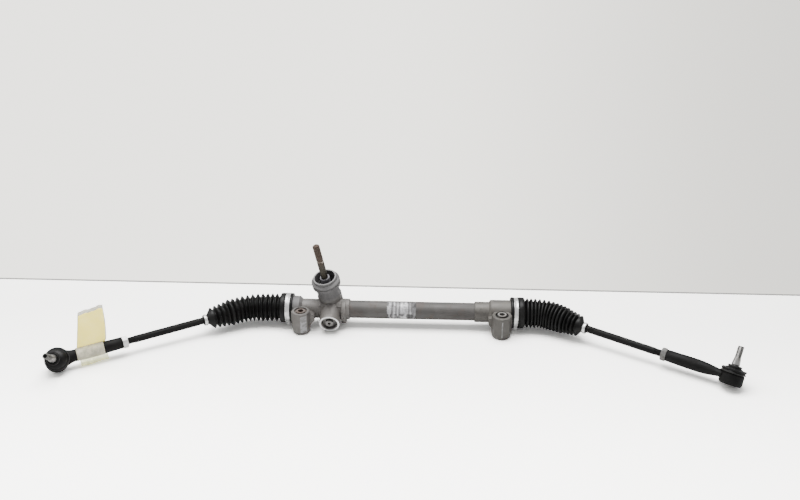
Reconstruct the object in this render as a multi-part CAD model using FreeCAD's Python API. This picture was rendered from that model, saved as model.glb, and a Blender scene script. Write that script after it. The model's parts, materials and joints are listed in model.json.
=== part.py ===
import FreeCAD, Part
import math
import os

# Steering rack with tie rods, in millimetres. X runs along the rack to the right, Z is up.
# The origin is the foot of the left mounting bore, and the table is the plane z = 0.

V = FreeCAD.Vector
UP = V(0, 0, 1)
RIGHT = V(1, 0, 0)

# Layout of the rack and its two mounting lugs
lug_spacing = 370.0
rack_y = 31.0
rack_z = 32.0
travel_right = 62.0
travel_left = 42.0
rack_to_ball = 21.0

# Rack bar and the tube that it slides in
rack_radius = 12.0
tube_bore_radius = 13.0
tube_radius = 16.5
tube_seat_length = 4.0
running_gap = 0.05
slide_gap = 0.1
soft_gap = 0.3

# Rack and pinion teeth, straight on the pinion and oblique on the rack
tooth_module = 1.8
pinion_teeth = 8
pressure_angle = math.radians(25)
profile_shift = 0.3
pinion_tip_radius = 9.3
pinion_root_radius = 5.4
flank_backlash = 0.14
rack_addendum = 1.8
rack_tip_height = 8.0
rack_root_gap = 0.4
rack_tooth_count = 25
toothed_centre_x = 46.0
gear_half_width = 11.0
flank_points = 5

# Pinion tower, which leans to the left and towards the front
crossing_x = 53.0
lean_left = math.radians(8.2)
lean_front = math.radians(15.2)
rim_height = 68.3
rim_radius = 21.9
rim_lip_height = 5.0
collar_radius = 26.3
collar_height = 19.5
collar_groove_depth = 0.8
collar_groove_width = 1.6
neck_radius = 21.2
shoulder_radius = 22.6
shoulder_height = 25.0
shoulder_taper = 5.0
lower_barrel_radius = 18.0
lower_barrel_foot = -26.0
cup_wall = 2.9
cup_depth = 18.5
foot_cap_radius = 15.5
foot_cap_thread_radius = 12.0
gear_chamber_radius = 11.0
tip_height = 144.5

# Pinion bearings, nut and seal, as heights along the pinion axis
upper_bearing_foot = 20.0
upper_bearing_height = 11.0
upper_bearing_radius = 17.5
upper_race_split_radius = 12.6
bearing_bore_radius = 8.5
bearing_nut_height = 5.5
bearing_nut_bore = 13.5
seal_height = 6.0
seal_lip_gap = 0.05
lower_bearing_foot = -22.0
lower_bearing_height = 10.0
lower_bearing_radius = 9.5
lower_journal_radius = 6.5
circlip_thickness = 1.4
circlip_width = 2.6
circlip_seat_depth = 1.4
circlip_gap_width = 9.0

# Pinion shaft above the bearing
shaft_radius = 6.4
spline_radius = 6.4
spline_root_radius = 5.9
spline_count = 24
spline_length = 22.0
pinch_groove_height = 106.0
pinch_groove_width = 5.0
pinch_groove_radius = 5.0
shaft_sleeve_radius = 9.0
shaft_sleeve_top = 68.0
shaft_tip_chamfer = 1.4

# Yoke that presses the rack onto the pinion, with its boss and plug
yoke_boss_radius = 18.7
yoke_boss_reach = 40.8
yoke_radius = 13.0
yoke_back = 22.0
yoke_front = 4.5
yoke_liner_thickness = 0.6
yoke_spring_height = 2.5
yoke_spring_thickness = 1.1
yoke_plug_length = 8.0
yoke_plug_radius = 14.0
plug_pip_radius = 7.1
plug_pip_height = 6.8
plug_socket_width = 5.0
plug_socket_depth = 5.0
plug_mouth_chamfer = 2.2

# Pinion housing casting along the rack
spigot_radius = 24.0
left_end_x = -38.0
left_collar_x = -17.8
left_collar_radius = 23.0
left_taper_start_x = -5.5
left_taper_end_x = 0.0
left_barrel_radius = 18.0
main_barrel_radius = 19.5
main_barrel_start_x = 30.0
step_x = 88.0
rim_flange_x = 73.0
rim_flange_width = 9.0
rim_flange_radius = 22.5
rim_flange_front = 3.3
rim_flange_down = 3.2
rim_flange_chamfer = 1.2
stop_recess_radius = 18.5
left_stop_depth = 28.0
right_stop_depth = 27.6
clamp_groove_depth = 1.0

# Right housing casting, as distances from the axis of its lug
neck_before_lug = 49.0
tube_fit_length = 6.0
right_neck_radius = 19.0
casting_before_lug = 21.0
right_casting_radius = 23.0
spigot_past_lug = 18.4
end_past_lug = 37.6
bush_bore_radius = 15.0
bush_in_neck = 14.0
bush_length = 20.0

# Mounting lugs, rubber bushes and steel sleeves
lug_height = 44.0
left_lug_radius = 15.8
right_lug_radius = 17.4
lug_flat_depth = 1.5
left_flat_turn = math.radians(9)
right_flat_turn = math.radians(22)
lug_bore_radius = 12.2
rubber_recess = 2.5
left_sleeve_radius = 8.4
right_sleeve_radius = 8.0
mount_bore_radius = 5.2
right_sleeve_proud = 1.6
lug_foot_chamfer = 2.0
web_half_width = 12.0
web_foot_z = 9.0
web_top_z = 40.0
gusset_reach = 24.0
gusset_drop = 6.0
gusset_foot_z = 22.0

# Inner ball joints
inner_ball_radius = 10.5
ball_gap = 0.3
seat_thickness = 1.5
seat_half_angle = math.radians(40)
seat_zone_angle = math.radians(75)
socket_radius = 15.2
socket_mouth = 4.5
socket_length_past_ball = 8.0
socket_mouth_flare_radius = 12.6
stop_washer_thickness = 2.5
stop_washer_radius = 16.8
socket_shank_radius = 7.0
socket_shank_length = 22.0
socket_flat_width = 29.0
socket_flat_length = 7.0

# Tie rods, with the sweep and the lengths that the toe setting leaves
rod_length = {"left": 356.0, "right": 350.0}
rod_sweep = math.radians(30.6)
rod_neck_radius = 5.0
rod_neck_length = 15.0
rod_radius = 6.5
rod_taper_length = 6.0
rod_thread_radius = 6.0
rod_flat_width = 11.0
rod_flat_length = 9.0
rod_flat_start = 98.0
thread_engagement = 28.0
jam_nut_width = 20.0
jam_nut_height = 9.0
rod_end_length = 111.0

# Outer rod ends, as sizes along and round the stud
stud_roll = {"left": math.radians(46), "right": math.radians(-28)}
stud_tilt = {"left": math.radians(19), "right": 0.0}
sleeve_radius = 8.6
sleeve_length = 58.0
shank_neck_radius = 6.0
eye_radius = 19.5
eye_foot_radius = 17.5
eye_foot = 13.4
eye_top = 10.0
boot_groove_radius = 17.6
boot_groove_height = 3.6
outer_ball_radius = 10.5
end_seat_radius = 13.6
end_seat_top = 4.5
end_seat_bore_radius = 4.0
eye_mouth_radius = 12.6
cap_thickness = 2.4
cap_radius = 15.4
stud_neck_radius = 6.0
stud_taper_foot = 21.8
stud_taper_radius = 7.0
stud_taper_top = 33.0
stud_taper_top_radius = 5.4
stud_thread_radius = 5.0
stud_length = 53.6
cotter_radius = 1.4
cotter_height = 47.0

# Dust boots of the outer ball joints
dust_flange_radius = 21.2
dust_flange_height = 12.5
dust_wall = 1.6
dust_collar_radius = 10.4
dust_collar_foot = 16.5
dust_collar_top = 20.0
dust_clip_thickness = 1.0
dust_clip_height = 2.0
dust_lower_ring_height = 1.6

# Bellows and their clamps
bellows_cuff_radius = 27.8
bellows_cuff_length = 23.0
bellows_clamp_groove = 1.2
bellows_lip_length = 4.5
bellows_peak_start = 26.4
bellows_peak_end = 18.0
bellows_depth = 3.8
bellows_wall = 1.2
bellows_bend_lead = 11.5
bellows_folds = 16
bellows_small_cuff_radius = 8.8
bellows_small_cuff_length = 8.0
small_clamp_distance = 91.0
big_clamp_width = 8.0
big_clamp_thickness = 1.0
small_clamp_width = 5.0
small_clamp_thickness = 1.2
clamp_ear_width = 6.0
clamp_ear_height = 3.2

# Values that follow from the sizes above
pitch_radius = tooth_module * pinion_teeth / 2
mesh_distance = pitch_radius + profile_shift * tooth_module
reference_height = rack_tip_height - rack_addendum
axis_distance = reference_height + mesh_distance
tube_start_x = step_x - tube_seat_length
neck_start_x = lug_spacing - neck_before_lug
tube_end_x = neck_start_x + tube_fit_length
bush_start_x = neck_start_x + bush_in_neck
right_casting_start_x = lug_spacing - casting_before_lug
right_spigot_x = lug_spacing + spigot_past_lug
right_end_x = lug_spacing + end_past_lug
left_stop_x = left_end_x + left_stop_depth
right_stop_x = right_end_x - right_stop_depth
rack_left_x = left_stop_x - travel_right
rack_right_x = right_stop_x + travel_left
left_ball_x = rack_left_x - rack_to_ball
right_ball_x = rack_right_x + rack_to_ball
pinion_axis = V(
    -math.sin(lean_left),
    -math.cos(lean_left) * math.sin(lean_front),
    math.cos(lean_left) * math.cos(lean_front),
)
yoke_axis = RIGHT.cross(pinion_axis).normalize()
bearing_nut_foot = upper_bearing_foot + upper_bearing_height
seal_foot = bearing_nut_foot + bearing_nut_height
circlip_foot = seal_foot + seal_height
cup_floor = rim_height - cup_depth
cup_radius = rim_radius - cup_wall
rack_crossing = V(crossing_x, rack_y, rack_z)
pinion_centre = rack_crossing - yoke_axis * axis_distance
tower_lean = math.sqrt(1 - pinion_axis.z ** 2)
foot_cap_bottom = -(pinion_centre.z - foot_cap_radius * tower_lean) / pinion_axis.z


def placed(shape, centre, axis, toward=None):
    """Move a shape built round the Z axis so that its Z follows the axis, from the centre."""
    if toward is None:
        turn = FreeCAD.Rotation(UP, axis)
    else:
        turn = FreeCAD.Rotation(toward, V(), axis, "ZXY")
    moved = shape.copy()
    moved.Placement = FreeCAD.Placement(centre, turn).multiply(shape.Placement)
    return moved


def turned(outline):
    """Revolve a closed outline of (radius, height) points about the Z axis."""
    corners = [V(radius, 0, height) for radius, height in outline]
    face = Part.Face(Part.makePolygon(corners + corners[:1]))
    return face.revolve(V(), UP, 360)


def ring(outer, inner, foot, top):
    return turned([(inner, foot), (outer, foot), (outer, top), (inner, top)])


def rod(radius, foot, top):
    return Part.makeCylinder(radius, top - foot, V(0, 0, foot))


def hexagon(width, foot, top):
    corner = width / math.sqrt(3)
    corners = [
        V(corner * math.cos(math.radians(60 * k)), corner * math.sin(math.radians(60 * k)), foot)
        for k in range(7)
    ]
    return Part.Face(Part.makePolygon(corners)).extrude(V(0, 0, top - foot))


def fused(shapes):
    return shapes[0].multiFuse(shapes[1:]).removeSplitter()


def cut(shape, tools):
    return shape.cut(Part.makeCompound(tools))


def on_rack_axis(shape):
    """Lay a shape built round Z along the rack, with its heights as X."""
    return placed(shape, V(0, rack_y, rack_z), RIGHT)


def on_pinion_axis(shape):
    return placed(shape, pinion_centre, pinion_axis, RIGHT)


def on_yoke_axis(shape):
    return placed(shape, rack_crossing, yoke_axis, RIGHT)


# Rack and pinion teeth


def involute(angle):
    return math.tan(angle) - angle


def pinion_half_angle(radius):
    """Half the angle that one pinion tooth takes up at a radius."""
    thickness = tooth_module * (math.pi / 2 + 2 * profile_shift * math.tan(pressure_angle))
    base_radius = pitch_radius * math.cos(pressure_angle)
    at_radius = involute(math.acos(min(1.0, base_radius / radius)))
    whole = thickness / 2 / pitch_radius + involute(pressure_angle) - at_radius
    return whole - flank_backlash / radius


def polar(radius, angle, height=0.0):
    return V(radius * math.cos(angle), radius * math.sin(angle), height)


def pinion_gear(foot, top):
    """Spur pinion whose tooth space faces local +Y, towards the rack."""
    base_radius = pitch_radius * math.cos(pressure_angle)
    step = 2 * math.pi / pinion_teeth
    edges = []
    for tooth in range(pinion_teeth):
        middle = math.pi / 2 + (tooth + 0.5) * step
        radii = [
            base_radius + (pinion_tip_radius - base_radius) * k / (flank_points - 1)
            for k in range(flank_points)
        ]
        rising = [polar(r, middle - pinion_half_angle(r), foot) for r in radii]
        falling = [polar(r, middle + pinion_half_angle(r), foot) for r in reversed(radii)]
        foot_half = pinion_half_angle(base_radius)
        root_in = polar(pinion_root_radius, middle - foot_half, foot)
        root_out = polar(pinion_root_radius, middle + foot_half, foot)
        next_root = polar(pinion_root_radius, middle + step - foot_half, foot)
        for points in (rising, falling):
            curve = Part.BSplineCurve()
            curve.interpolate(points)
            if points is rising:
                edges.append(Part.makeLine(root_in, rising[0]))
                edges.append(curve.toShape())
                crown = polar(pinion_tip_radius, middle, foot)
                edges.append(Part.Arc(rising[-1], crown, falling[0]).toShape())
            else:
                edges.append(curve.toShape())
                edges.append(Part.makeLine(falling[-1], root_out))
        valley = polar(pinion_root_radius, middle + step / 2, foot)
        edges.append(Part.Arc(root_out, valley, next_root).toShape())
    outline = Part.Wire(edges)
    return Part.Face(outline).extrude(V(0, 0, top - foot))


def rack_grooves():
    """Tooth spaces cut parallel to the pinion axis, so their pitch along the rack is longer."""
    pitch = math.pi * tooth_module
    across = yoke_axis.cross(pinion_axis)
    along_rack_pitch = pitch / abs(RIGHT.dot(across))
    root_height = axis_distance - pinion_tip_radius - rack_root_gap
    tip_half = (reference_height - rack_tip_height) * math.tan(pressure_angle)
    tip_half = pitch / 4 - tip_half
    root_half = pitch / 4 - (reference_height - root_height) * math.tan(pressure_angle)
    reach = rack_radius
    grooves = []
    first = -(rack_tooth_count // 2)
    shift = round((toothed_centre_x - crossing_x) / along_rack_pitch)
    for number in range(first, first + rack_tooth_count):
        x = crossing_x + (number + shift + 0.5) * along_rack_pitch
        start = V(x, rack_y, rack_z) - pinion_axis * reach
        extra = 1.0
        wide = tip_half + extra * math.tan(pressure_angle)
        corners = [
            start - across * root_half - yoke_axis * root_height,
            start + across * root_half - yoke_axis * root_height,
            start + across * wide - yoke_axis * (rack_tip_height + extra),
            start - across * wide - yoke_axis * (rack_tip_height + extra),
        ]
        face = Part.Face(Part.makePolygon(corners + corners[:1]))
        grooves.append(face.extrude(pinion_axis * (2 * reach)))
    return grooves


def rack_bar():
    bar = rod(rack_radius, rack_left_x, rack_right_x)
    sockets = [
        rod(socket_shank_radius, rack_left_x, rack_left_x + socket_shank_length + 2),
        rod(socket_shank_radius, rack_right_x - socket_shank_length - 2, rack_right_x),
    ]
    bar = on_rack_axis(cut(bar, sockets))
    pitch = math.pi * tooth_module / math.cos(lean_left)
    flat_length = (rack_tooth_count + 0.6) * pitch
    flat = Part.makeBox(2 * rack_radius, rack_radius, flat_length)
    flat.translate(V(-rack_radius, rack_tip_height, -flat_length / 2))
    shift = round((toothed_centre_x - crossing_x) / pitch)
    centre = V(crossing_x + (shift + 0.5) * pitch, rack_y, rack_z)
    turn = FreeCAD.Rotation(V(), yoke_axis * -1, RIGHT, "ZYX")
    flat.Placement = FreeCAD.Placement(centre, turn).multiply(flat.Placement)
    return cut(bar, [flat] + rack_grooves())


# Housing castings


def lug(x, radius, inward, flat_turn):
    """Upright boss with one flat on its front, a web and a sloping gusset towards the middle."""
    boss = turned([
        (0, 0),
        (radius - lug_foot_chamfer, 0),
        (radius, lug_foot_chamfer),
        (radius, lug_height - 0.8),
        (radius - 0.8, lug_height),
        (0, lug_height),
    ])
    flat = Part.makeBox(4 * radius, radius, lug_height + 2)
    flat.translate(V(-2 * radius, lug_flat_depth - 2 * radius, -1))
    flat.rotate(V(), UP, math.degrees(flat_turn))
    boss = boss.cut(flat)
    boss.translate(V(x, 0, 0))
    corners = [
        V(x - inward * web_half_width, 0, web_foot_z),
        V(x + inward * web_half_width, 0, web_foot_z),
        V(x + inward * gusset_reach, 0, gusset_foot_z),
        V(x + inward * gusset_reach, 0, web_top_z - gusset_drop),
        V(x + inward * web_half_width, 0, web_top_z),
        V(x - inward * web_half_width, 0, web_top_z),
    ]
    outline = Part.Face(Part.makePolygon(corners + corners[:1]))
    return boss.fuse(outline.extrude(V(0, rack_y - lug_foot_chamfer, 0)))


def lug_bore(x):
    return Part.makeCylinder(lug_bore_radius, lug_height + 2, V(x, 0, -1))


def spigot_outline(end_x, inner_x, sign):
    """Spigot under a bellows cuff, with the shallow groove that its clamp pulls into."""
    lip = bellows_lip_length
    groove_foot = inner_x - sign * lip
    groove_top = groove_foot - sign * big_clamp_width
    low = spigot_radius - clamp_groove_depth
    return [
        (spigot_radius, inner_x),
        (spigot_radius, groove_foot),
        (low, groove_foot),
        (low, groove_top),
        (spigot_radius, groove_top),
        (spigot_radius, end_x),
    ]


def tower_outside():
    """Barrel, neck and grooved collar of the pinion tower, under a thinner rim."""
    collar_foot = rim_height - collar_height
    lip_foot = rim_height - rim_lip_height
    groove_top = (collar_foot + lip_foot) / 2 + collar_groove_width
    groove_radius = collar_radius - collar_groove_depth
    return turned([
        (0, lower_barrel_foot),
        (lower_barrel_radius - 1.5, lower_barrel_foot),
        (lower_barrel_radius, lower_barrel_foot + 1.5),
        (lower_barrel_radius, -14),
        (shoulder_radius, 2),
        (shoulder_radius, shoulder_height),
        (neck_radius, shoulder_height + shoulder_taper),
        (neck_radius, collar_foot - 1.5),
        (collar_radius - 2.0, collar_foot),
        (collar_radius, collar_foot + 2.0),
        (collar_radius, groove_top - collar_groove_width),
        (groove_radius, groove_top - collar_groove_width),
        (groove_radius, groove_top),
        (collar_radius, groove_top),
        (collar_radius, lip_foot - 2.5),
        (rim_radius + 0.6, lip_foot),
        (rim_radius, lip_foot + 0.6),
        (rim_radius, rim_height - 0.6),
        (rim_radius - 0.6, rim_height),
        (0, rim_height),
    ])


def tower_bore():
    return turned([
        (0, lower_barrel_foot - 1),
        (foot_cap_thread_radius, lower_barrel_foot - 1),
        (foot_cap_thread_radius, lower_bearing_foot),
        (lower_bearing_radius, lower_bearing_foot),
        (lower_bearing_radius, lower_bearing_foot + lower_bearing_height),
        (gear_chamber_radius, lower_bearing_foot + lower_bearing_height),
        (gear_chamber_radius, upper_bearing_foot - 4),
        (upper_race_split_radius + 1, upper_bearing_foot - 2),
        (upper_race_split_radius + 1, upper_bearing_foot),
        (upper_bearing_radius, upper_bearing_foot),
        (upper_bearing_radius, cup_floor),
        (cup_radius, cup_floor),
        (cup_radius, rim_height + 1),
        (0, rim_height + 1),
    ])


def circlip_groove():
    outer = upper_bearing_radius + circlip_seat_depth
    return ring(outer, upper_bearing_radius - 1, circlip_foot, circlip_foot + circlip_thickness)


def pinion_housing():
    spigot = spigot_outline(left_end_x, left_collar_x, 1)
    barrel = turned(
        [(0, left_end_x)]
        + list(reversed(spigot))
        + [
            (left_collar_radius, left_collar_x),
            (left_collar_radius, left_taper_start_x),
            (left_barrel_radius, left_taper_end_x),
            (left_barrel_radius, main_barrel_start_x),
            (main_barrel_radius, main_barrel_start_x + 3),
            (main_barrel_radius, step_x - 1),
            (main_barrel_radius - 1, step_x),
            (0, step_x),
        ]
    )
    flange = turned([
        (0, rim_flange_x),
        (rim_flange_radius - rim_flange_chamfer, rim_flange_x),
        (rim_flange_radius, rim_flange_x + rim_flange_chamfer),
        (rim_flange_radius, rim_flange_x + rim_flange_width - rim_flange_chamfer),
        (rim_flange_radius - rim_flange_chamfer, rim_flange_x + rim_flange_width),
        (0, rim_flange_x + rim_flange_width),
    ])
    flange_centre = V(0, rack_y - rim_flange_front, rack_z - rim_flange_down)
    flange = placed(flange, flange_centre, RIGHT)
    boss = turned([
        (0, 0),
        (yoke_boss_radius + 1.5, 0),
        (yoke_boss_radius, yoke_boss_reach - 12),
        (yoke_boss_radius, yoke_boss_reach - 0.8),
        (yoke_boss_radius - 0.8, yoke_boss_reach),
        (0, yoke_boss_reach),
    ])
    cheek = Part.makeBox(44, shoulder_radius * 1.5, axis_distance + 12)
    cheek.translate(V(-22, -shoulder_radius * 0.75, -axis_distance))
    solid = fused([
        on_rack_axis(barrel),
        flange,
        on_pinion_axis(tower_outside()),
        on_yoke_axis(boss),
        on_yoke_axis(cheek),
        lug(0, left_lug_radius, 1, left_flat_turn),
    ])
    yoke_bore = yoke_radius + slide_gap
    plug_foot = yoke_back + yoke_spring_height
    bores = [
        on_rack_axis(rod(stop_recess_radius, left_end_x - 1, left_stop_x)),
        on_rack_axis(rod(tube_bore_radius, left_stop_x - 1, step_x + 1)),
        on_rack_axis(rod(tube_radius, tube_start_x, step_x + 1)),
        on_pinion_axis(tower_bore()),
        on_pinion_axis(circlip_groove()),
        on_yoke_axis(rod(yoke_bore, 0, plug_foot)),
        on_yoke_axis(turned([
            (0, plug_foot),
            (yoke_plug_radius, plug_foot),
            (yoke_plug_radius, yoke_boss_reach - plug_mouth_chamfer),
            (yoke_plug_radius + plug_mouth_chamfer + 1, yoke_boss_reach + 1),
            (0, yoke_boss_reach + 1),
        ])),
        lug_bore(0),
    ]
    return cut(solid, bores)


def rack_tube():
    return on_rack_axis(ring(tube_radius, tube_bore_radius, tube_start_x, tube_end_x))


def right_housing():
    barrel = turned(
        [
            (0, neck_start_x),
            (right_neck_radius - 1, neck_start_x),
            (right_neck_radius, neck_start_x + 1),
            (right_neck_radius, right_casting_start_x - 2),
            (right_casting_radius, right_casting_start_x + 2),
            (right_casting_radius, right_spigot_x),
        ]
        + spigot_outline(right_end_x, right_spigot_x, -1)
        + [(0, right_end_x)]
    )
    solid = fused([on_rack_axis(barrel), lug(lug_spacing, right_lug_radius, -1, right_flat_turn)])
    bush_end = bush_start_x + bush_length
    bores = [
        on_rack_axis(rod(tube_radius, neck_start_x - 1, tube_end_x)),
        on_rack_axis(rod(tube_bore_radius, tube_end_x - 1, right_end_x)),
        on_rack_axis(rod(bush_bore_radius, bush_start_x, bush_end)),
        on_rack_axis(rod(stop_recess_radius, right_stop_x, right_end_x + 1)),
        lug_bore(lug_spacing),
    ]
    return cut(solid, bores)


def rack_bush():
    inner = rack_radius + running_gap
    bush = ring(bush_bore_radius, inner, bush_start_x, bush_start_x + bush_length)
    return on_rack_axis(bush)


def bush_rubber(x, sleeve_radius_here):
    rubber = ring(lug_bore_radius, sleeve_radius_here, rubber_recess, lug_height - rubber_recess)
    rubber.translate(V(x, 0, 0))
    return rubber


def bush_sleeve(x, radius, proud):
    sleeve = ring(radius, mount_bore_radius, 0, lug_height + proud)
    sleeve.translate(V(x, 0, 0))
    return sleeve


# Pinion, its bearings, seal and caps


def pinion_shaft():
    body = turned([
        (0, lower_bearing_foot + 1),
        (lower_journal_radius - 0.6, lower_bearing_foot + 1),
        (lower_journal_radius, lower_bearing_foot + 1.6),
        (lower_journal_radius, -gear_half_width),
        (pinion_root_radius + 0.3, -gear_half_width),
        (pinion_root_radius + 0.3, gear_half_width),
        (bearing_bore_radius + 2, upper_bearing_foot - 2),
        (bearing_bore_radius + 2, upper_bearing_foot),
        (bearing_bore_radius, upper_bearing_foot),
        (bearing_bore_radius, circlip_foot),
        (shaft_radius, circlip_foot + 1),
        (shaft_radius, pinch_groove_height),
        (pinch_groove_radius, pinch_groove_height + 1),
        (pinch_groove_radius, pinch_groove_height + pinch_groove_width - 1),
        (shaft_radius, pinch_groove_height + pinch_groove_width),
        (shaft_radius, tip_height - spline_length),
        (spline_root_radius, tip_height - spline_length + 1),
        (spline_root_radius, tip_height - shaft_tip_chamfer),
        (spline_root_radius - shaft_tip_chamfer, tip_height),
        (0, tip_height),
    ])
    gear = pinion_gear(-gear_half_width, gear_half_width)
    return on_pinion_axis(fused([body, gear, spline_teeth()]))


def spline_teeth():
    """Serrated end of the shaft, cut as one star-shaped outline."""
    corners = []
    for k in range(2 * spline_count + 1):
        radius = spline_radius if k % 2 else spline_root_radius
        corners.append(polar(radius, math.pi * k / spline_count, tip_height - spline_length + 2))
    star = Part.Face(Part.makePolygon(corners))
    return star.extrude(V(0, 0, spline_length - 2 - shaft_tip_chamfer))


def upper_bearing_outer():
    outline = ring(
        upper_bearing_radius,
        upper_race_split_radius + running_gap,
        upper_bearing_foot,
        upper_bearing_foot + upper_bearing_height,
    )
    return on_pinion_axis(outline)


def upper_bearing_inner():
    return on_pinion_axis(ring(
        upper_race_split_radius,
        bearing_bore_radius,
        upper_bearing_foot,
        upper_bearing_foot + upper_bearing_height,
    ))


def bearing_nut():
    top = bearing_nut_foot + bearing_nut_height
    return on_pinion_axis(ring(upper_bearing_radius, bearing_nut_bore, bearing_nut_foot, top))


def pinion_seal():
    inner = bearing_bore_radius + seal_lip_gap
    return on_pinion_axis(ring(upper_bearing_radius, inner, seal_foot, seal_foot + seal_height))


def seal_circlip():
    outer = upper_bearing_radius + circlip_seat_depth
    whole = ring(outer, outer - circlip_width, circlip_foot, circlip_foot + circlip_thickness)
    gap = Part.makeBox(outer, circlip_gap_width, circlip_thickness + 2)
    gap.translate(V(0, -circlip_gap_width / 2, circlip_foot - 1))
    gap.rotate(V(), UP, 60)
    return on_pinion_axis(whole.cut(gap))


def lower_bearing():
    return on_pinion_axis(ring(
        lower_bearing_radius,
        lower_journal_radius + running_gap,
        lower_bearing_foot,
        lower_bearing_foot + lower_bearing_height,
    ))


def foot_cap():
    """Screwed cap under the pinion, whose rim is the third point that the housing rests on."""
    cap = turned([
        (0, foot_cap_bottom),
        (foot_cap_radius, foot_cap_bottom),
        (foot_cap_radius, lower_barrel_foot),
        (foot_cap_thread_radius, lower_barrel_foot),
        (foot_cap_thread_radius, lower_bearing_foot - 1),
        (0, lower_bearing_foot - 1),
    ])
    socket = hexagon(12, foot_cap_bottom - 1, foot_cap_bottom + 3.5)
    return on_pinion_axis(cap.cut(socket))


def shaft_sleeve():
    return on_pinion_axis(ring(shaft_sleeve_radius, shaft_radius, circlip_foot + 1.5, shaft_sleeve_top))


# Yoke


def rack_clearance(radius):
    clear = rod(radius, crossing_x - 3 * yoke_radius, crossing_x + 3 * yoke_radius)
    return on_rack_axis(clear)


def yoke():
    body = on_yoke_axis(rod(yoke_radius, yoke_front, yoke_back))
    pocket = on_yoke_axis(rod(7.0, yoke_back - 3.0, yoke_back + 1))
    liner_back = rack_radius + slide_gap + yoke_liner_thickness
    return cut(body, [rack_clearance(liner_back), pocket])


def yoke_liner():
    shell = on_yoke_axis(rod(yoke_radius - 1.5, yoke_front + 1.5, yoke_back))
    outer = rack_clearance(rack_radius + slide_gap + yoke_liner_thickness)
    return shell.common(outer).cut(rack_clearance(rack_radius + slide_gap))


def yoke_spring():
    """Dished spring washer between the yoke and its plug."""
    inner = 7.6
    outer = yoke_radius - 0.8
    foot = yoke_back
    top = yoke_back + yoke_spring_height
    return on_yoke_axis(turned([
        (inner, top - yoke_spring_thickness),
        (outer, foot),
        (outer, foot + yoke_spring_thickness),
        (inner, top),
    ]))


def yoke_plug():
    foot = yoke_back + yoke_spring_height
    top = foot + yoke_plug_length
    plug = rod(yoke_plug_radius, foot, top)
    pip = rod(plug_pip_radius, top, top + plug_pip_height)
    socket = hexagon(plug_socket_width, top + plug_pip_height - plug_socket_depth, top + 9)
    return on_yoke_axis(plug.fuse(pip).cut(socket))


# Inner ball joints on the rack ends


def side_sign(side):
    return 1 if side == "right" else -1


def inner_centre(side):
    x = right_ball_x if side == "right" else left_ball_x
    return V(x, rack_y, rack_z)


def outward(shape, side):
    """Place a shape built along +Z from the inner ball centre, pointing out of the rack."""
    return placed(shape, inner_centre(side), RIGHT * side_sign(side))


def washer_back():
    return -rack_to_ball


def stop_washer(side):
    foot = washer_back()
    washer = ring(stop_washer_radius, socket_shank_radius, foot, foot + stop_washer_thickness)
    return outward(washer, side)


def inner_socket(side):
    back = washer_back() + stop_washer_thickness
    cavity_radius = inner_ball_radius + ball_gap
    seat_cavity = cavity_radius + seat_thickness + ball_gap
    mouth_radius = math.sqrt(cavity_radius ** 2 - socket_mouth ** 2)
    body = turned([
        (0, washer_back() - socket_shank_length),
        (socket_shank_radius, washer_back() - socket_shank_length),
        (socket_shank_radius, back),
        (socket_radius - 1, back),
        (socket_radius, back + 1),
        (socket_radius, socket_mouth),
        (socket_mouth_flare_radius + 1.2, socket_length_past_ball),
        (socket_mouth_flare_radius, socket_length_past_ball),
        (mouth_radius, socket_mouth),
        (0, socket_mouth),
    ])
    front = Part.makeSphere(cavity_radius)
    edge = math.degrees(seat_zone_angle) - 90
    rear = Part.makeSphere(seat_cavity, V(), UP, -90, edge, 360)
    flats = []
    for sign in (-1, 1):
        flat = Part.makeBox(4 * socket_radius, socket_radius, socket_flat_length)
        flat.translate(V(-2 * socket_radius, 0, back + 1.5))
        offset = socket_flat_width / 2 if sign > 0 else -socket_flat_width / 2 - socket_radius
        flat.translate(V(0, offset, 0))
        flats.append(flat)
    return outward(cut(body, [front, rear] + flats), side)


def inner_seat(side):
    """Preloaded pad behind the inner ball; it turns with the rod's swing."""
    inner = inner_ball_radius + ball_gap
    outer = inner + seat_thickness
    cap_angle = math.degrees(seat_half_angle)
    whole = Part.makeSphere(outer, V(), UP, -90, cap_angle - 90, 360)
    shell = whole.cut(Part.makeSphere(inner))
    return placed(shell, inner_centre(side), rod_axis(side))


# Tie rods, rod ends and studs


def eye_height(stud):
    """Height of the outer ball when the rim under the eye rests on the table."""
    return eye_foot * stud.z + eye_foot_radius * math.sqrt(1 - stud.z ** 2)


def rod_axis(side):
    """Direction of a rod that sweeps to the front and droops until its end lies on the table."""
    sign = side_sign(side)
    height = 0.0
    axis = V(sign, 0, 0)
    for _ in range(6):
        droop = math.asin((rack_z - height) / rod_length[side])
        level = math.cos(droop)
        axis = V(
            sign * math.cos(rod_sweep) * level,
            -math.sin(rod_sweep) * level,
            -math.sin(droop),
        )
        height = eye_height(eye_axis(side, axis))
    return axis


def eye_axis(side, axis):
    """Axis of the eye: square to the rod, rolled to the front on the left and back on the right."""
    front = UP.cross(axis).normalize() * -side_sign(side)
    top = axis.cross(front).normalize() * -side_sign(side)
    roll = stud_roll[side]
    return top * math.cos(roll) + front * math.sin(roll)


def outer_centre(side):
    return inner_centre(side) + rod_axis(side) * rod_length[side]


def stud_axis(side):
    tilt = stud_tilt[side]
    axis = rod_axis(side)
    return eye_axis(side, axis) * math.cos(tilt) + axis * math.sin(tilt)


def on_rod(shape, side):
    return placed(shape, inner_centre(side), rod_axis(side), eye_axis(side, rod_axis(side)))


def on_eye(shape, side):
    return placed(shape, outer_centre(side), eye_axis(side, rod_axis(side)), rod_axis(side))


def on_stud(shape, side):
    return placed(shape, outer_centre(side), stud_axis(side))


def jam_nut_foot(side):
    return rod_length[side] - rod_end_length - jam_nut_height


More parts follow.
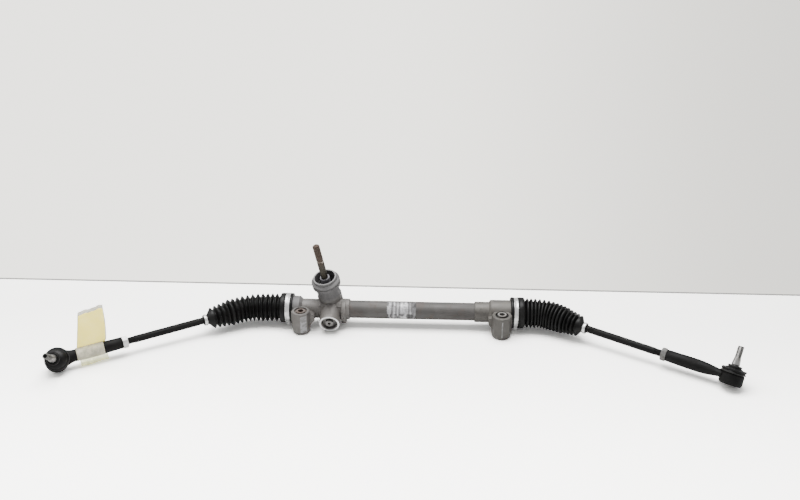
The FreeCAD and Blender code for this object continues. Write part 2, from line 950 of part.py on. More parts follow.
def flats_on(foot, length, width, radius):
    """Two boxes that leave wrench flats of the given width on a round bar."""
    boxes = []
    for offset in (width / 2, -width / 2 - radius):
        box = Part.makeBox(4 * radius, radius, length)
        box.translate(V(-2 * radius, offset, foot))
        boxes.append(box)
    return boxes


def tie_rod(side):
    thread_start = jam_nut_foot(side) - 12
    thread_end = rod_length[side] - rod_end_length + thread_engagement
    neck_end = rod_neck_length + rod_taper_length
    bar = turned([
        (0, 0),
        (rod_neck_radius, 0),
        (rod_neck_radius, rod_neck_length),
        (rod_radius, neck_end),
        (rod_radius, thread_start),
        (rod_thread_radius, thread_start + 1),
        (rod_thread_radius, thread_end - 1),
        (rod_thread_radius - 1, thread_end),
        (0, thread_end),
    ])
    bar = cut(bar, flats_on(rod_flat_start, rod_flat_length, rod_flat_width, rod_radius))
    ball = Part.makeSphere(inner_ball_radius)
    return on_rod(fused([bar, ball]), side)


def jam_nut(side):
    foot = jam_nut_foot(side)
    nut = hexagon(jam_nut_width, foot, foot + jam_nut_height)
    bevel = turned([
        (0, foot),
        (jam_nut_width / 2, foot),
        (jam_nut_width / 2 + 1.6, foot + 1.0),
        (jam_nut_width / 2 + 1.6, foot + jam_nut_height - 1.0),
        (jam_nut_width / 2, foot + jam_nut_height),
        (0, foot + jam_nut_height),
    ])
    nut = nut.common(bevel)
    bore = rod(rod_thread_radius, foot - 1, foot + jam_nut_height + 1)
    return on_rod(nut.cut(bore), side)


def rod_end(side):
    """Forged rod end: threaded sleeve, tapering shank and an eye round the ball joint."""
    start = rod_length[side] - rod_end_length
    shank_end = rod_length[side] - eye_radius + 4
    shank = on_rod(turned([
        (0, start),
        (sleeve_radius - 0.8, start),
        (sleeve_radius, start + 0.8),
        (sleeve_radius, start + sleeve_length),
        (shank_neck_radius, start + sleeve_length + 22),
        (shank_neck_radius, shank_end),
        (0, shank_end),
    ]), side)
    eye = on_eye(turned([
        (0, -eye_foot),
        (eye_foot_radius, -eye_foot),
        (eye_radius, -eye_foot + 4),
        (eye_radius, eye_top - boot_groove_height - 1.5),
        (boot_groove_radius, eye_top - boot_groove_height),
        (boot_groove_radius, eye_top),
        (0, eye_top),
    ]), side)
    mouth_foot = math.sqrt(outer_ball_radius ** 2 - end_seat_top ** 2)
    pocket = on_eye(turned([
        (0, -eye_foot - 1),
        (cap_radius, -eye_foot - 1),
        (cap_radius, -eye_foot + cap_thickness),
        (end_seat_radius, -eye_foot + cap_thickness),
        (end_seat_radius, end_seat_top),
        (mouth_foot + ball_gap + 0.4, end_seat_top),
        (eye_mouth_radius, eye_top + 0.01),
        (0, eye_top + 0.01),
    ]), side)
    thread_bore = on_rod(rod(rod_thread_radius, start - 1, start + thread_engagement + 6), side)
    return cut(fused([shank, eye]), [pocket, thread_bore])


def end_seat(side):
    foot = cap_thickness - eye_foot
    seat = ring(end_seat_radius, end_seat_bore_radius, foot, end_seat_top)
    return on_eye(seat.cut(Part.makeSphere(outer_ball_radius + ball_gap)), side)


def end_cap(side):
    return on_eye(rod(cap_radius, -eye_foot, -eye_foot + cap_thickness), side)


def ball_stud(side):
    shank = turned([
        (0, 0),
        (stud_neck_radius, 0),
        (stud_neck_radius, stud_taper_foot - 1.5),
        (stud_taper_radius, stud_taper_foot),
        (stud_taper_top_radius, stud_taper_top),
        (stud_thread_radius, stud_taper_top + 0.4),
        (stud_thread_radius, stud_length - 1),
        (stud_thread_radius - 1, stud_length),
        (0, stud_length),
    ])
    ball = Part.makeSphere(outer_ball_radius)
    cotter = Part.makeCylinder(cotter_radius, 4 * stud_thread_radius, V(-10, 0, 0), RIGHT)
    cotter.translate(V(0, 0, cotter_height))
    return on_stud(fused([shank, ball]).cut(cotter), side)


def tilted_circle(side, height, radius, share):
    """Circle round the joint at a height, tilted by a share of the stud's tilt."""
    eye = eye_axis(side, rod_axis(side))
    angle = stud_tilt[side] * share
    axis = eye * math.cos(angle) + rod_axis(side) * math.sin(angle)
    edge = Part.Circle(V(), UP, radius).toShape()
    circle = Part.Wire([placed(edge, outer_centre(side) + axis * height, axis)])
    return circle


def dust_boot(side):
    """Rubber cover from the groove on the eye to the neck of the stud."""
    foot = eye_top - boot_groove_height + 0.4
    lower_radius = boot_groove_radius + soft_gap + dust_wall
    outer = [
        tilted_circle(side, foot, lower_radius, 0.0),
        tilted_circle(side, eye_top + 0.4, lower_radius, 0.1),
        tilted_circle(side, dust_flange_height, dust_flange_radius, 0.4),
        tilted_circle(side, dust_flange_height + 1.6, dust_flange_radius - 0.6, 0.6),
        tilted_circle(side, dust_collar_foot, dust_collar_radius, 1.0),
        tilted_circle(side, dust_collar_top, dust_collar_radius, 1.0),
    ]
    inner_low = boot_groove_radius + soft_gap
    bore = stud_neck_radius + soft_gap
    inner = [
        tilted_circle(side, foot - 0.5, inner_low, 0.0),
        tilted_circle(side, eye_top + 0.4, inner_low, 0.1),
        tilted_circle(side, dust_flange_height, dust_flange_radius - dust_wall, 0.4),
        tilted_circle(side, dust_collar_foot - 1.2, bore, 1.0),
        tilted_circle(side, dust_collar_top + 0.5, bore, 1.0),
    ]
    shell = Part.makeLoft(outer, True, True)
    return shell.cut(Part.makeLoft(inner, True, True))


def dust_ring(side):
    """Spring ring that holds the rubber in the groove of the eye."""
    inner = boot_groove_radius + soft_gap + dust_wall + soft_gap
    foot = eye_top - boot_groove_height + 0.6
    return on_eye(ring(inner + 0.9, inner, foot, foot + dust_lower_ring_height), side)


def dust_clip(side):
    """Clip round the upper collar of the rubber; it tilts with the stud and does not spin."""
    inner = dust_collar_radius + soft_gap
    foot = dust_collar_foot + 0.8
    return on_stud(ring(inner + dust_clip_thickness, inner, foot, foot + dust_clip_height), side)


# Bellows


def bellows_path(side, share):
    """Point and direction on the middle line, which bends round the inner ball."""
    sign = side_sign(side)
    collar_x = right_spigot_x if side == "right" else left_collar_x
    start = V(collar_x + sign * bellows_cuff_length, rack_y, rack_z)
    bend = inner_centre(side) + RIGHT * (sign * bellows_bend_lead)
    cuff_foot = small_clamp_distance - bellows_small_cuff_length / 2
    end = inner_centre(side) + rod_axis(side) * cuff_foot
    rest = 1 - share
    point = start * rest ** 3 + bend * (3 * share * rest) + end * share ** 3
    heading = (bend - start) * rest ** 2 + (end - bend) * share ** 2
    if share == 1.0:
        heading = rod_axis(side)
    return point, heading.normalize()


def bellows_share(side, part):
    """Share of the middle line at which a part of its length is reached."""
    steps = 80
    before = bellows_path(side, 0.0)[0]
    lengths = [0.0]
    for k in range(1, steps + 1):
        here = bellows_path(side, k / steps)[0]
        lengths.append(lengths[-1] + (here - before).Length)
        before = here
    wanted = part * lengths[-1]
    for k in range(steps):
        if lengths[k + 1] >= wanted:
            return (k + (wanted - lengths[k]) / (lengths[k + 1] - lengths[k])) / steps
    return 1.0


def bellows_peak(share):
    """Radius over the folds: level at first, then drawn in towards the rod."""
    return bellows_peak_start - (bellows_peak_start - bellows_peak_end) * share ** 3


def bellows_circle(side, part, radius):
    point, heading = bellows_path(side, bellows_share(side, part))
    edge = Part.Circle(V(), UP, radius).toShape()
    return Part.Wire([placed(edge, point, heading)])


def bellows(side):
    cuff_end = bellows_cuff_length
    groove_foot = bellows_lip_length
    groove_top = groove_foot + big_clamp_width + 2 * soft_gap
    groove_radius = bellows_cuff_radius - bellows_clamp_groove
    cuff_bore = spigot_radius + soft_gap
    cuff = turned([
        (cuff_bore, 0),
        (bellows_cuff_radius - 0.8, 0),
        (bellows_cuff_radius, 0.8),
        (bellows_cuff_radius, groove_foot),
        (groove_radius, groove_foot),
        (groove_radius, groove_top),
        (bellows_cuff_radius, groove_top),
        (bellows_cuff_radius, cuff_end),
        (cuff_bore, cuff_end),
    ])
    collar_x = right_spigot_x if side == "right" else left_collar_x
    centre = V(collar_x, rack_y, rack_z)
    cuff = placed(cuff, centre, RIGHT * side_sign(side))
    outer = []
    steps = 2 * bellows_folds
    for k in range(steps):
        share = 0.93 * k / (steps - 1)
        depth = bellows_depth if k % 2 == 1 else 0.0
        outer.append(bellows_circle(side, share, bellows_peak(share) - depth))
    outer.append(bellows_circle(side, 1.0, bellows_small_cuff_radius))
    inner = []
    for share in (0.0, 0.25, 0.5, 0.75, 0.93):
        radius = bellows_peak(share) - bellows_depth - bellows_wall
        inner.append(bellows_circle(side, share, radius))
    inner.append(bellows_circle(side, 1.0, rod_radius + soft_gap + 0.4))
    folds = Part.makeLoft(outer, True, True).cut(Part.makeLoft(inner, True, True))
    small = ring(
        bellows_small_cuff_radius, rod_radius + soft_gap,
        small_clamp_distance - bellows_small_cuff_length / 2,
        small_clamp_distance + bellows_small_cuff_length / 2,
    )
    return fused([cuff, folds, on_rod(small, side)])


def big_clamp(side):
    """Band clamp with a crimped ear, in the groove of the bellows cuff."""
    inner = bellows_cuff_radius - bellows_clamp_groove + soft_gap
    outer = inner + big_clamp_thickness
    foot = bellows_lip_length + soft_gap
    band = ring(outer, inner, foot, foot + big_clamp_width)
    ear = Part.makeBox(clamp_ear_height + 0.5, clamp_ear_width, big_clamp_width - 2)
    ear.translate(V(outer - 0.5, -clamp_ear_width / 2, foot + 1))
    collar_x = right_spigot_x if side == "right" else left_collar_x
    centre = V(collar_x, rack_y, rack_z)
    down_front = V(0, -0.5, -0.866)
    return placed(band.fuse(ear), centre, RIGHT * side_sign(side), down_front)


def small_clamp(side):
    inner = bellows_small_cuff_radius + soft_gap
    outer = inner + small_clamp_thickness
    foot = small_clamp_distance - small_clamp_width / 2
    band = ring(outer, inner, foot, foot + small_clamp_width)
    ear = Part.makeBox(2.4, 4.0, small_clamp_width - 1)
    ear.translate(V(outer - 0.4, -2.0, foot + 0.5))
    return on_rod(band.fuse(ear), side)


def parts():
    yield "pinion_housing", pinion_housing()
    yield "rack_tube", rack_tube()
    yield "right_housing", right_housing()
    yield "rack_bush", rack_bush()
    yield "left_bush_rubber", bush_rubber(0, left_sleeve_radius)
    yield "right_bush_rubber", bush_rubber(lug_spacing, right_sleeve_radius)
    yield "left_bush_sleeve", bush_sleeve(0, left_sleeve_radius, 0)
    yield "right_bush_sleeve", bush_sleeve(lug_spacing, right_sleeve_radius, right_sleeve_proud)
    yield "upper_bearing_outer", upper_bearing_outer()
    yield "upper_bearing_inner", upper_bearing_inner()
    yield "bearing_nut", bearing_nut()
    yield "pinion_seal", pinion_seal()
    yield "seal_circlip", seal_circlip()
    yield "lower_bearing", lower_bearing()
    yield "pinion_foot_cap", foot_cap()
    yield "pinion_shaft", pinion_shaft()
    yield "shaft_sleeve", shaft_sleeve()
    yield "yoke", yoke()
    yield "yoke_liner", yoke_liner()
    yield "yoke_spring", yoke_spring()
    yield "yoke_plug", yoke_plug()
    yield "rack_bar", rack_bar()
    for side in ("left", "right"):
        yield side + "_stop_washer", stop_washer(side)
        yield side + "_inner_socket", inner_socket(side)
        yield side + "_inner_seat", inner_seat(side)
        yield side + "_tie_rod", tie_rod(side)
        yield side + "_jam_nut", jam_nut(side)
        yield side + "_rod_end", rod_end(side)
        yield side + "_end_seat", end_seat(side)
        yield side + "_end_cap", end_cap(side)
        yield side + "_ball_stud", ball_stud(side)
        yield side + "_dust_boot", dust_boot(side)
        yield side + "_dust_ring", dust_ring(side)
        yield side + "_dust_clip", dust_clip(side)
        yield side + "_boot", bellows(side)
        yield side + "_big_clamp", big_clamp(side)
        yield side + "_small_clamp", small_clamp(side)


def main():
    os.makedirs("parts", exist_ok=True)
    for name, shape in parts():
        shape.exportStep("parts/" + name + ".step")


main()
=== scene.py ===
import bmesh
import bpy
import json
import math
from mathutils import Matrix, Vector


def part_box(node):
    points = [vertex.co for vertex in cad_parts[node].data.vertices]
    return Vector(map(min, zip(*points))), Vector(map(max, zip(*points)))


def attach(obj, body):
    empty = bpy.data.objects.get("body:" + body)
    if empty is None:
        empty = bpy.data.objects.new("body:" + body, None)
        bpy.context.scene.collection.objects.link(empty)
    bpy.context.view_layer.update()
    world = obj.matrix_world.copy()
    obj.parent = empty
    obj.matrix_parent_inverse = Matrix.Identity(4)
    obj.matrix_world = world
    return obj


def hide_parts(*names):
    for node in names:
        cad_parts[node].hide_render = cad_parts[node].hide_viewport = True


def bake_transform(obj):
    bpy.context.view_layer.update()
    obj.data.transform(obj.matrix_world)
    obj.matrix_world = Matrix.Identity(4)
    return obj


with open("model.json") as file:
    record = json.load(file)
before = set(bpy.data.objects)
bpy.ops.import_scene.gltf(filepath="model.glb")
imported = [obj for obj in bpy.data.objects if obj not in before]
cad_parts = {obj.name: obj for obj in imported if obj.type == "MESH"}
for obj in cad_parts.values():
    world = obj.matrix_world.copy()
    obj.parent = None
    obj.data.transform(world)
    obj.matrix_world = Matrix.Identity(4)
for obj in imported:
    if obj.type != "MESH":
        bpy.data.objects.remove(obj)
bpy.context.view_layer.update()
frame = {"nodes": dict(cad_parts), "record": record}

# Lengths are in metres, in the part's own frame: X along the rack, Z up, table at z = 0.

UP = Vector((0, 0, 1))
RIGHT = Vector((1, 0, 0))
SIDES = ("left", "right")
JOINTS = {joint["name"]: joint for joint in frame["record"]["behaviour"]["joints"]}

rack_line = Vector(JOINTS["left_rod_swing"]["pos_m"])
pinion_centre = Vector(JOINTS["pinion_spin"]["pos_m"])
pinion_axis = Vector(JOINTS["pinion_spin"]["axis"])
yoke_axis = RIGHT.cross(pinion_axis).normalized()


def outward(side):
    """Way along the rack from its middle to a side."""
    return RIGHT if side == "right" else -RIGHT


def rack_point(along):
    """Point on the middle line of the rack."""
    return Vector((along, rack_line.y, rack_line.z))


def inner_ball(side):
    """Centre of the ball at the rack."""
    return Vector(JOINTS[side + "_rod_swing"]["pos_m"])


def outer_ball(side):
    """Centre of the ball in the rod end."""
    return Vector(JOINTS[side + "_stud_tilt"]["pos_m"])


def rod_line(side):
    """Way along a tie rod, from its inner ball to its outer ball."""
    return (outer_ball(side) - inner_ball(side)).normalized()


def tilt_line(side):
    """Line that a ball stud tilts about."""
    return Vector(JOINTS[side + "_stud_tilt"]["axis"]).normalized()


def eye_line(side):
    """Axis of the eye of a rod end."""
    return rod_line(side).cross(tilt_line(side)).normalized()


def stud_line(side):
    """Axis of a ball stud, which leans in its eye."""
    return Vector(JOINTS[side + "_stud_spin"]["axis"]).normalized()


def stud_lean(side):
    """Angle between a stud and the axis of its eye."""
    return eye_line(side).angle(stud_line(side))


def axes_to(origin, height_line, side_line):
    """Matrix that takes a shape built on Z to a line, with its X towards another line."""
    z = height_line.normalized()
    y = z.cross(side_line).normalized()
    x = y.cross(z)
    turn = Matrix((x, y, z)).transposed().to_4x4()
    return Matrix.Translation(origin) @ turn


# Mesh helpers


def finished(name, bm, material, smooth=True):
    """Make a piece of a bmesh, with its faces outwards and one material."""
    mesh = bpy.data.meshes.new(name)
    bmesh.ops.recalc_face_normals(bm, faces=bm.faces)
    bm.to_mesh(mesh)
    bm.free()
    for face in mesh.polygons:
        face.use_smooth = smooth
    mesh.materials.append(material)
    piece = bpy.data.objects.new(name, mesh)
    bpy.context.scene.collection.objects.link(piece)
    return piece


def lathe(outline, segments=96, closed=False):
    """Spin an outline of (radius, height) points once round Z."""
    bm = bmesh.new()
    points = [bm.verts.new((radius, 0, height)) for radius, height in outline]
    edges = [bm.edges.new(pair) for pair in zip(points, points[1:])]
    if closed:
        edges.append(bm.edges.new((points[-1], points[0])))
    bmesh.ops.spin(
        bm,
        geom=points + edges,
        cent=(0, 0, 0),
        axis=(0, 0, 1),
        angle=2 * math.pi,
        steps=segments,
        use_merge=True,
    )
    bmesh.ops.remove_doubles(bm, verts=bm.verts, dist=1e-6)
    return bm


def box(size, centre):
    """Block with its sides along the axes."""
    bm = bmesh.new()
    bmesh.ops.create_cube(bm, size=1)
    bmesh.ops.scale(bm, vec=size, verts=bm.verts)
    bmesh.ops.translate(bm, vec=centre, verts=bm.verts)
    return bm


def rounded(bm, width, segments):
    """Round every edge."""
    bmesh.ops.bevel(
        bm,
        geom=bm.edges[:],
        offset=width,
        affect="EDGES",
        segments=segments,
        profile=0.5,
        material=-1,
    )


def rounded_box(size, centre, width, segments):
    """Block with all its edges rounded."""
    bm = box(size, centre)
    rounded(bm, width, segments)
    return bm


def sheet_of(columns, rows, place):
    """Sheet whose points are put by their shares across and up."""
    bm = bmesh.new()
    bmesh.ops.create_grid(bm, x_segments=columns, y_segments=rows, size=0.5)
    for vert in bm.verts:
        vert.co = place(vert.co.x + 0.5, vert.co.y + 0.5)
    return bm


def joined(bm, other):
    """Add the faces of another bmesh to the first."""
    mesh = bpy.data.meshes.new("joining")
    other.to_mesh(mesh)
    other.free()
    bm.from_mesh(mesh)
    bpy.data.meshes.remove(mesh)


def moved(bm, matrix):
    """Put a shape in its place."""
    bmesh.ops.transform(bm, matrix=matrix, verts=bm.verts)


def walled(piece, thickness, even=True):
    """Inward wall. Pleats that fold tight take a plain offset, which can't spike."""
    wall = piece.modifiers.new("wall", "SOLIDIFY")
    wall.thickness = thickness
    wall.offset = -1
    wall.use_even_offset = even
    return wall


# Node helpers


def new_group(name, inputs, outputs):
    """Shader node group with named sockets: (name, kind, first value)."""
    group = bpy.data.node_groups.new(name, "ShaderNodeTree")
    for title, kind, value in inputs:
        socket = group.interface.new_socket(name=title, in_out="INPUT", socket_type=kind)
        if value is not None:
            socket.default_value = value
    for title, kind in outputs:
        group.interface.new_socket(name=title, in_out="OUTPUT", socket_type=kind)
    start = group.nodes.new("NodeGroupInput")
    end = group.nodes.new("NodeGroupOutput")
    return group, start, end


def fill(node, links):
    """Join the inputs of a node, by name or number, to sockets or fill them with values."""
    for socket, value in links.items():
        target = node.inputs[socket]
        if isinstance(value, bpy.types.NodeSocket):
            node.id_data.links.new(value, target)
        else:
            target.default_value = value


def put(tree, kind, links=None, **values):
    """Add a node, set its fields, and join or fill its inputs."""
    node = tree.nodes.new(kind)
    for field, value in values.items():
        setattr(node, field, value)
    fill(node, links or {})
    return node


def math_node(tree, operation, *inputs, clamp=False):
    """Result of a sum on values or sockets."""
    links = dict(enumerate(inputs))
    return put(tree, "ShaderNodeMath", links, operation=operation, use_clamp=clamp).outputs[0]


def times(tree, first, *others):
    """Product of a socket and further values or sockets."""
    for other in others:
        first = math_node(tree, "MULTIPLY", first, other)
    return first


def spread(tree, value, low, high, first=0.0, last=1.0):
    """Map a value from one range to another, with soft ends."""
    links = {"Value": value, "From Min": low, "From Max": high, "To Min": first, "To Max": last}
    node = put(tree, "ShaderNodeMapRange", links, interpolation_type="SMOOTHSTEP")
    return node.outputs["Result"]


def paint(red, green, blue):
    """Colour as a socket takes it."""
    return (red, green, blue, 1.0)


def mixed(tree, share, first, second):
    """Colour between two others."""
    links = {0: share, 6: first, 7: second}
    return put(tree, "ShaderNodeMix", links, data_type="RGBA").outputs[2]


def toned(tree, mask, dark, light):
    """Colour that wanders between two paints over a mask."""
    return mixed(tree, mask, paint(*dark), paint(*light))


def stained(tree, base, mask, share, colour):
    """Lay a share of a colour over another where a mask is."""
    return mixed(tree, times(tree, mask, share), base, paint(*colour))


def stretched_noise(tree, place, stretch, detail):
    """Noise with its own number of patches per metre on each axis."""
    mapping = put(tree, "ShaderNodeMapping", {"Vector": place, "Scale": stretch})
    links = {"Vector": mapping.outputs[0], "Scale": 1.0, "Detail": detail}
    return put(tree, "ShaderNodeTexNoise", links).outputs[0]


def placed_group(tree, group, links):
    """Use a shared effect with its own values."""
    return put(tree, "ShaderNodeGroup", links, node_tree=group)


# Shared effects


def mottle_group():
    """Cloudy patches between 0 and 1."""
    group, start, end = new_group(
        "Mottle",
        [
            ("Place", "NodeSocketVector", None),
            ("Patches per metre", "NodeSocketFloat", 60.0),
            ("Low", "NodeSocketFloat", 0.4),
            ("High", "NodeSocketFloat", 0.6),
        ],
        [("Mask", "NodeSocketFloat")],
    )
    noise = put(group, "ShaderNodeTexNoise", {
        "Vector": start.outputs["Place"],
        "Scale": start.outputs["Patches per metre"],
        "Detail": 5.0,
        "Roughness": 0.6,
    })
    mask = spread(group, noise.outputs[0], start.outputs["Low"], start.outputs["High"])
    fill(end, {"Mask": mask})
    return group


def cast_skin_group():
    """Pebbled skin of a die casting, as a normal."""
    group, start, end = new_group(
        "Cast skin",
        [
            ("Place", "NodeSocketVector", None),
            ("Strength", "NodeSocketFloat", 0.3),
            ("Grains per metre", "NodeSocketFloat", 900.0),
        ],
        [("Normal", "NodeSocketVector")],
    )
    fine = put(group, "ShaderNodeTexNoise", {
        "Vector": start.outputs["Place"],
        "Scale": start.outputs["Grains per metre"],
        "Detail": 3.0,
    })
    broad = put(group, "ShaderNodeTexNoise", {
        "Vector": start.outputs["Place"],
        "Scale": 170.0,
        "Detail": 2.0,
    })
    both = math_node(group, "ADD", fine.outputs[0], times(group, broad.outputs[0], 1.5))
    bump = put(group, "ShaderNodeBump", {
        "Strength": start.outputs["Strength"],
        "Distance": 0.0006,
        "Height": both,
    })
    fill(end, {"Normal": bump.outputs[0]})
    return group


def along_group():
    """Distance along a line and away from it."""
    group, start, end = new_group(
        "Along a line",
        [
            ("Place", "NodeSocketVector", None),
            ("Origin", "NodeSocketVector", (0.0, 0.0, 0.0)),
            ("Line", "NodeSocketVector", (0.0, 0.0, 1.0)),
        ],
        [("Along", "NodeSocketFloat"), ("Away", "NodeSocketFloat")],
    )
    line = start.outputs["Line"]
    offset = put(group, "ShaderNodeVectorMath", {
        0: start.outputs["Place"],
        1: start.outputs["Origin"],
    }, operation="SUBTRACT").outputs[0]
    dot = put(group, "ShaderNodeVectorMath", {0: offset, 1: line}, operation="DOT_PRODUCT")
    along = dot.outputs["Value"]
    scaled = put(group, "ShaderNodeVectorMath", {0: line, "Scale": along}, operation="SCALE")
    away = put(group, "ShaderNodeVectorMath", {0: offset, 1: scaled.outputs[0]}, operation="SUBTRACT")
    length = put(group, "ShaderNodeVectorMath", {0: away.outputs[0]}, operation="LENGTH")
    fill(end, {"Along": along, "Away": length.outputs["Value"]})
    return group


def band_group():
    """1 where a value lies between two limits, with soft edges."""
    group, start, end = new_group(
        "Band",
        [
            ("Value", "NodeSocketFloat", 0.0),
            ("From", "NodeSocketFloat", 0.0),
            ("To", "NodeSocketFloat", 1.0),
            ("Soft", "NodeSocketFloat", 0.0003),
        ],
        [("Mask", "NodeSocketFloat")],
    )
    low = math_node(group, "SUBTRACT", start.outputs["Value"], start.outputs["From"])
    high = math_node(group, "SUBTRACT", start.outputs["To"], start.outputs["Value"])
    inner = math_node(group, "MINIMUM", low, high)
    ratio = math_node(group, "DIVIDE", inner, start.outputs["Soft"])
    fill(end, {"Mask": math_node(group, "MULTIPLY_ADD", ratio, 0.5, 0.5, clamp=True)})
    return group


def grime_and_shade_group():
    """Dark oily spots and films, with painted shade added on faces that look down."""
    group, start, end = new_group(
        "Grime and painted shade",
        [
            ("Place", "NodeSocketVector", None),
            ("Amount", "NodeSocketFloat", 0.5),
        ],
        [("Mask", "NodeSocketFloat")],
    )
    film = put(group, "ShaderNodeTexNoise", {
        "Vector": start.outputs["Place"],
        "Scale": 34.0,
        "Detail": 6.0,
        "Roughness": 0.7,
    })
    spots = put(group, "ShaderNodeTexNoise", {
        "Vector": start.outputs["Place"],
        "Scale": 210.0,
        "Detail": 2.0,
    })
    geometry = group.nodes.new("ShaderNodeNewGeometry")
    facing = put(group, "ShaderNodeSeparateXYZ", {0: geometry.outputs["Normal"]})
    # Painted shade: faces that look down are darkened, as if out of the light.
    below = spread(group, facing.outputs[2], 0.3, -0.9)
    film_mask = spread(group, film.outputs[0], 0.52, 0.74)
    spot_mask = spread(group, spots.outputs[0], 0.66, 0.74)
    patches = math_node(group, "MAXIMUM", film_mask, spot_mask)
    total = math_node(group, "ADD", patches, times(group, below, 0.5))
    fill(end, {"Mask": math_node(group, "MULTIPLY", total, start.outputs["Amount"], clamp=True)})
    return group


def thread_group():
    """Screw thread lines round a line: their height, and a mask of where they are."""
    group, start, end = new_group(
        "Screw thread",
        [
            ("Place", "NodeSocketVector", None),
            ("Origin", "NodeSocketVector", (0.0, 0.0, 0.0)),
            ("Line", "NodeSocketVector", (0.0, 0.0, 1.0)),
            ("From", "NodeSocketFloat", 0.0),
            ("To", "NodeSocketFloat", 0.02),
            ("Pitch", "NodeSocketFloat", 0.00125),
        ],
        [("Height", "NodeSocketFloat"), ("Mask", "NodeSocketFloat")],
    )
    spot = {title: start.outputs[title] for title in ("Place", "Origin", "Line")}
    along = placed_group(group, along_effect, spot).outputs["Along"]
    turns = math_node(group, "DIVIDE", along, start.outputs["Pitch"])
    wave = times(group, math_node(group, "PINGPONG", turns, 0.5), 2.0)
    limits = {"Value": along, "From": start.outputs["From"], "To": start.outputs["To"]}
    inside = placed_group(group, band_effect, limits).outputs["Mask"]
    fill(end, {"Height": times(group, wave, inside), "Mask": inside})
    return group


mottle_effect = mottle_group()
cast_skin_effect = cast_skin_group()
along_effect = along_group()
band_effect = band_group()
grime_and_shade_effect = grime_and_shade_group()
thread_effect = thread_group()


def mottle(tree, place, patches, low, high):
    """Cloudy patches, so many per metre."""
    links = {"Place": place, "Patches per metre": patches, "Low": low, "High": high}
    return placed_group(tree, mottle_effect, links).outputs["Mask"]


def skin(tree, place, strength, grains=900.0):
    """Normal of a pebbled skin, with so many grains per metre."""
    links = {"Place": place, "Strength": strength, "Grains per metre": grains}
    return placed_group(tree, cast_skin_effect, links).outputs["Normal"]


def grime_and_underside_shade(tree, place, amount):
    """Oily film and spots, with painted shade on faces that look down."""
    return placed_group(tree, grime_and_shade_effect, {"Place": place, "Amount": amount}).outputs["Mask"]


def along_line(tree, place, origin, line):
    """Distances along a line and away from it."""
    spot = placed_group(tree, along_effect, {"Place": place, "Origin": origin, "Line": line})
    return spot.outputs["Along"], spot.outputs["Away"]


def band(tree, value, low, high):
    """Mask between two limits of a value."""
    return placed_group(tree, band_effect, {"Value": value, "From": low, "To": high}).outputs["Mask"]


def screw_thread(tree, place, origin, line, ends, pitch):
    """Height and mask of a thread between two distances along a line."""
    links = {"Place": place, "Origin": origin, "Line": line, "From": ends[0], "To": ends[1], "Pitch": pitch}
    thread = placed_group(tree, thread_effect, links)
    return thread.outputs["Height"], thread.outputs["Mask"]


# Materials

# Dark colour of oily dirt, also laid on as painted shade on faces that look down.
GRIME_AND_SHADE = (0.022, 0.019, 0.017)


def new_material(name):
    """Material with its shader and the place of each point on the object."""
    material = bpy.data.materials.new(name)
    material.use_nodes = True
    tree = material.node_tree
    shader = tree.nodes["Principled BSDF"]
    place = tree.nodes.new("ShaderNodeTexCoord").outputs["Object"]
    return material, tree, shader, place


def cast_colour(tree, place, patches, dark, light):
    """Grey-brown of a die casting, with stains, oily dirt and painted shade on faces that look down."""
    base = toned(tree, patches, dark, light)
    stains = mottle(tree, place, 95.0, 0.52, 0.72)
    base = stained(tree, base, stains, 0.5, (0.105, 0.091, 0.078))
    return mixed(tree, grime_and_underside_shade(tree, place, 0.75), base, paint(*GRIME_AND_SHADE))


# Cuts of a tool: origin, line, from and to along the line, near and far from it, brightness
tower_rim_cut = (pinion_centre, pinion_axis, 0.0681, 0.0700, 0.0193, 0.0215, 0.12)
yoke_boss_cut = (Vector((0.053, 0.031, 0.032)), yoke_axis, 0.0401, 0.043, 0.0, 0.03, 0.95)


def machined_mask(tree, place, cut):
    """Where one cut left bright metal."""
    origin, line, low, high, near, far, brightness = cut
    along, away = along_line(tree, place, origin, line)
    return times(tree, band(tree, along, low, high), band(tree, away, near, far), brightness)


def left_casting():
    """Pinion housing, cooler up its tower and bright on its rim and its front boss."""
    material, tree, shader, place = new_material("Cast aluminium left")
    patches = mottle(tree, place, 38.0, 0.36, 0.66)
    up_tower = along_line(tree, place, pinion_centre, pinion_axis)[0]
    base = cast_colour(tree, place, patches, (0.114, 0.106, 0.098), (0.16, 0.151, 0.143))
    base = stained(tree, base, spread(tree, up_tower, 0.018, 0.034), 0.6, (0.088, 0.088, 0.093))
    rim = machined_mask(tree, place, tower_rim_cut)
    boss = machined_mask(tree, place, yoke_boss_cut)
    bright = math_node(tree, "MAXIMUM", rim, boss)
    rough = spread(tree, patches, 0.0, 1.0, 0.52, 0.64)
    fill(shader, {
        "Base Color": mixed(tree, bright, base, paint(0.85, 0.85, 0.84)),
        "Roughness": math_node(tree, "SUBTRACT", rough, times(tree, bright, 0.2)),
        "Metallic": math_node(tree, "MULTIPLY_ADD", bright, 0.55, 0.3),
        "Normal": skin(tree, place, 0.45),
    })
    return material


def right_casting():
    """Right end of the housing, darker and smoother than the left."""
    material, tree, shader, place = new_material("Cast aluminium right")
    patches = mottle(tree, place, 38.0, 0.36, 0.66)
    fill(shader, {
        "Base Color": cast_colour(tree, place, patches, (0.08, 0.074, 0.066), (0.104, 0.098, 0.089)),
        "Roughness": spread(tree, patches, 0.0, 1.0, 0.52, 0.64),
        "Metallic": 0.3,
        "Normal": skin(tree, place, 0.22),
    })
    return material


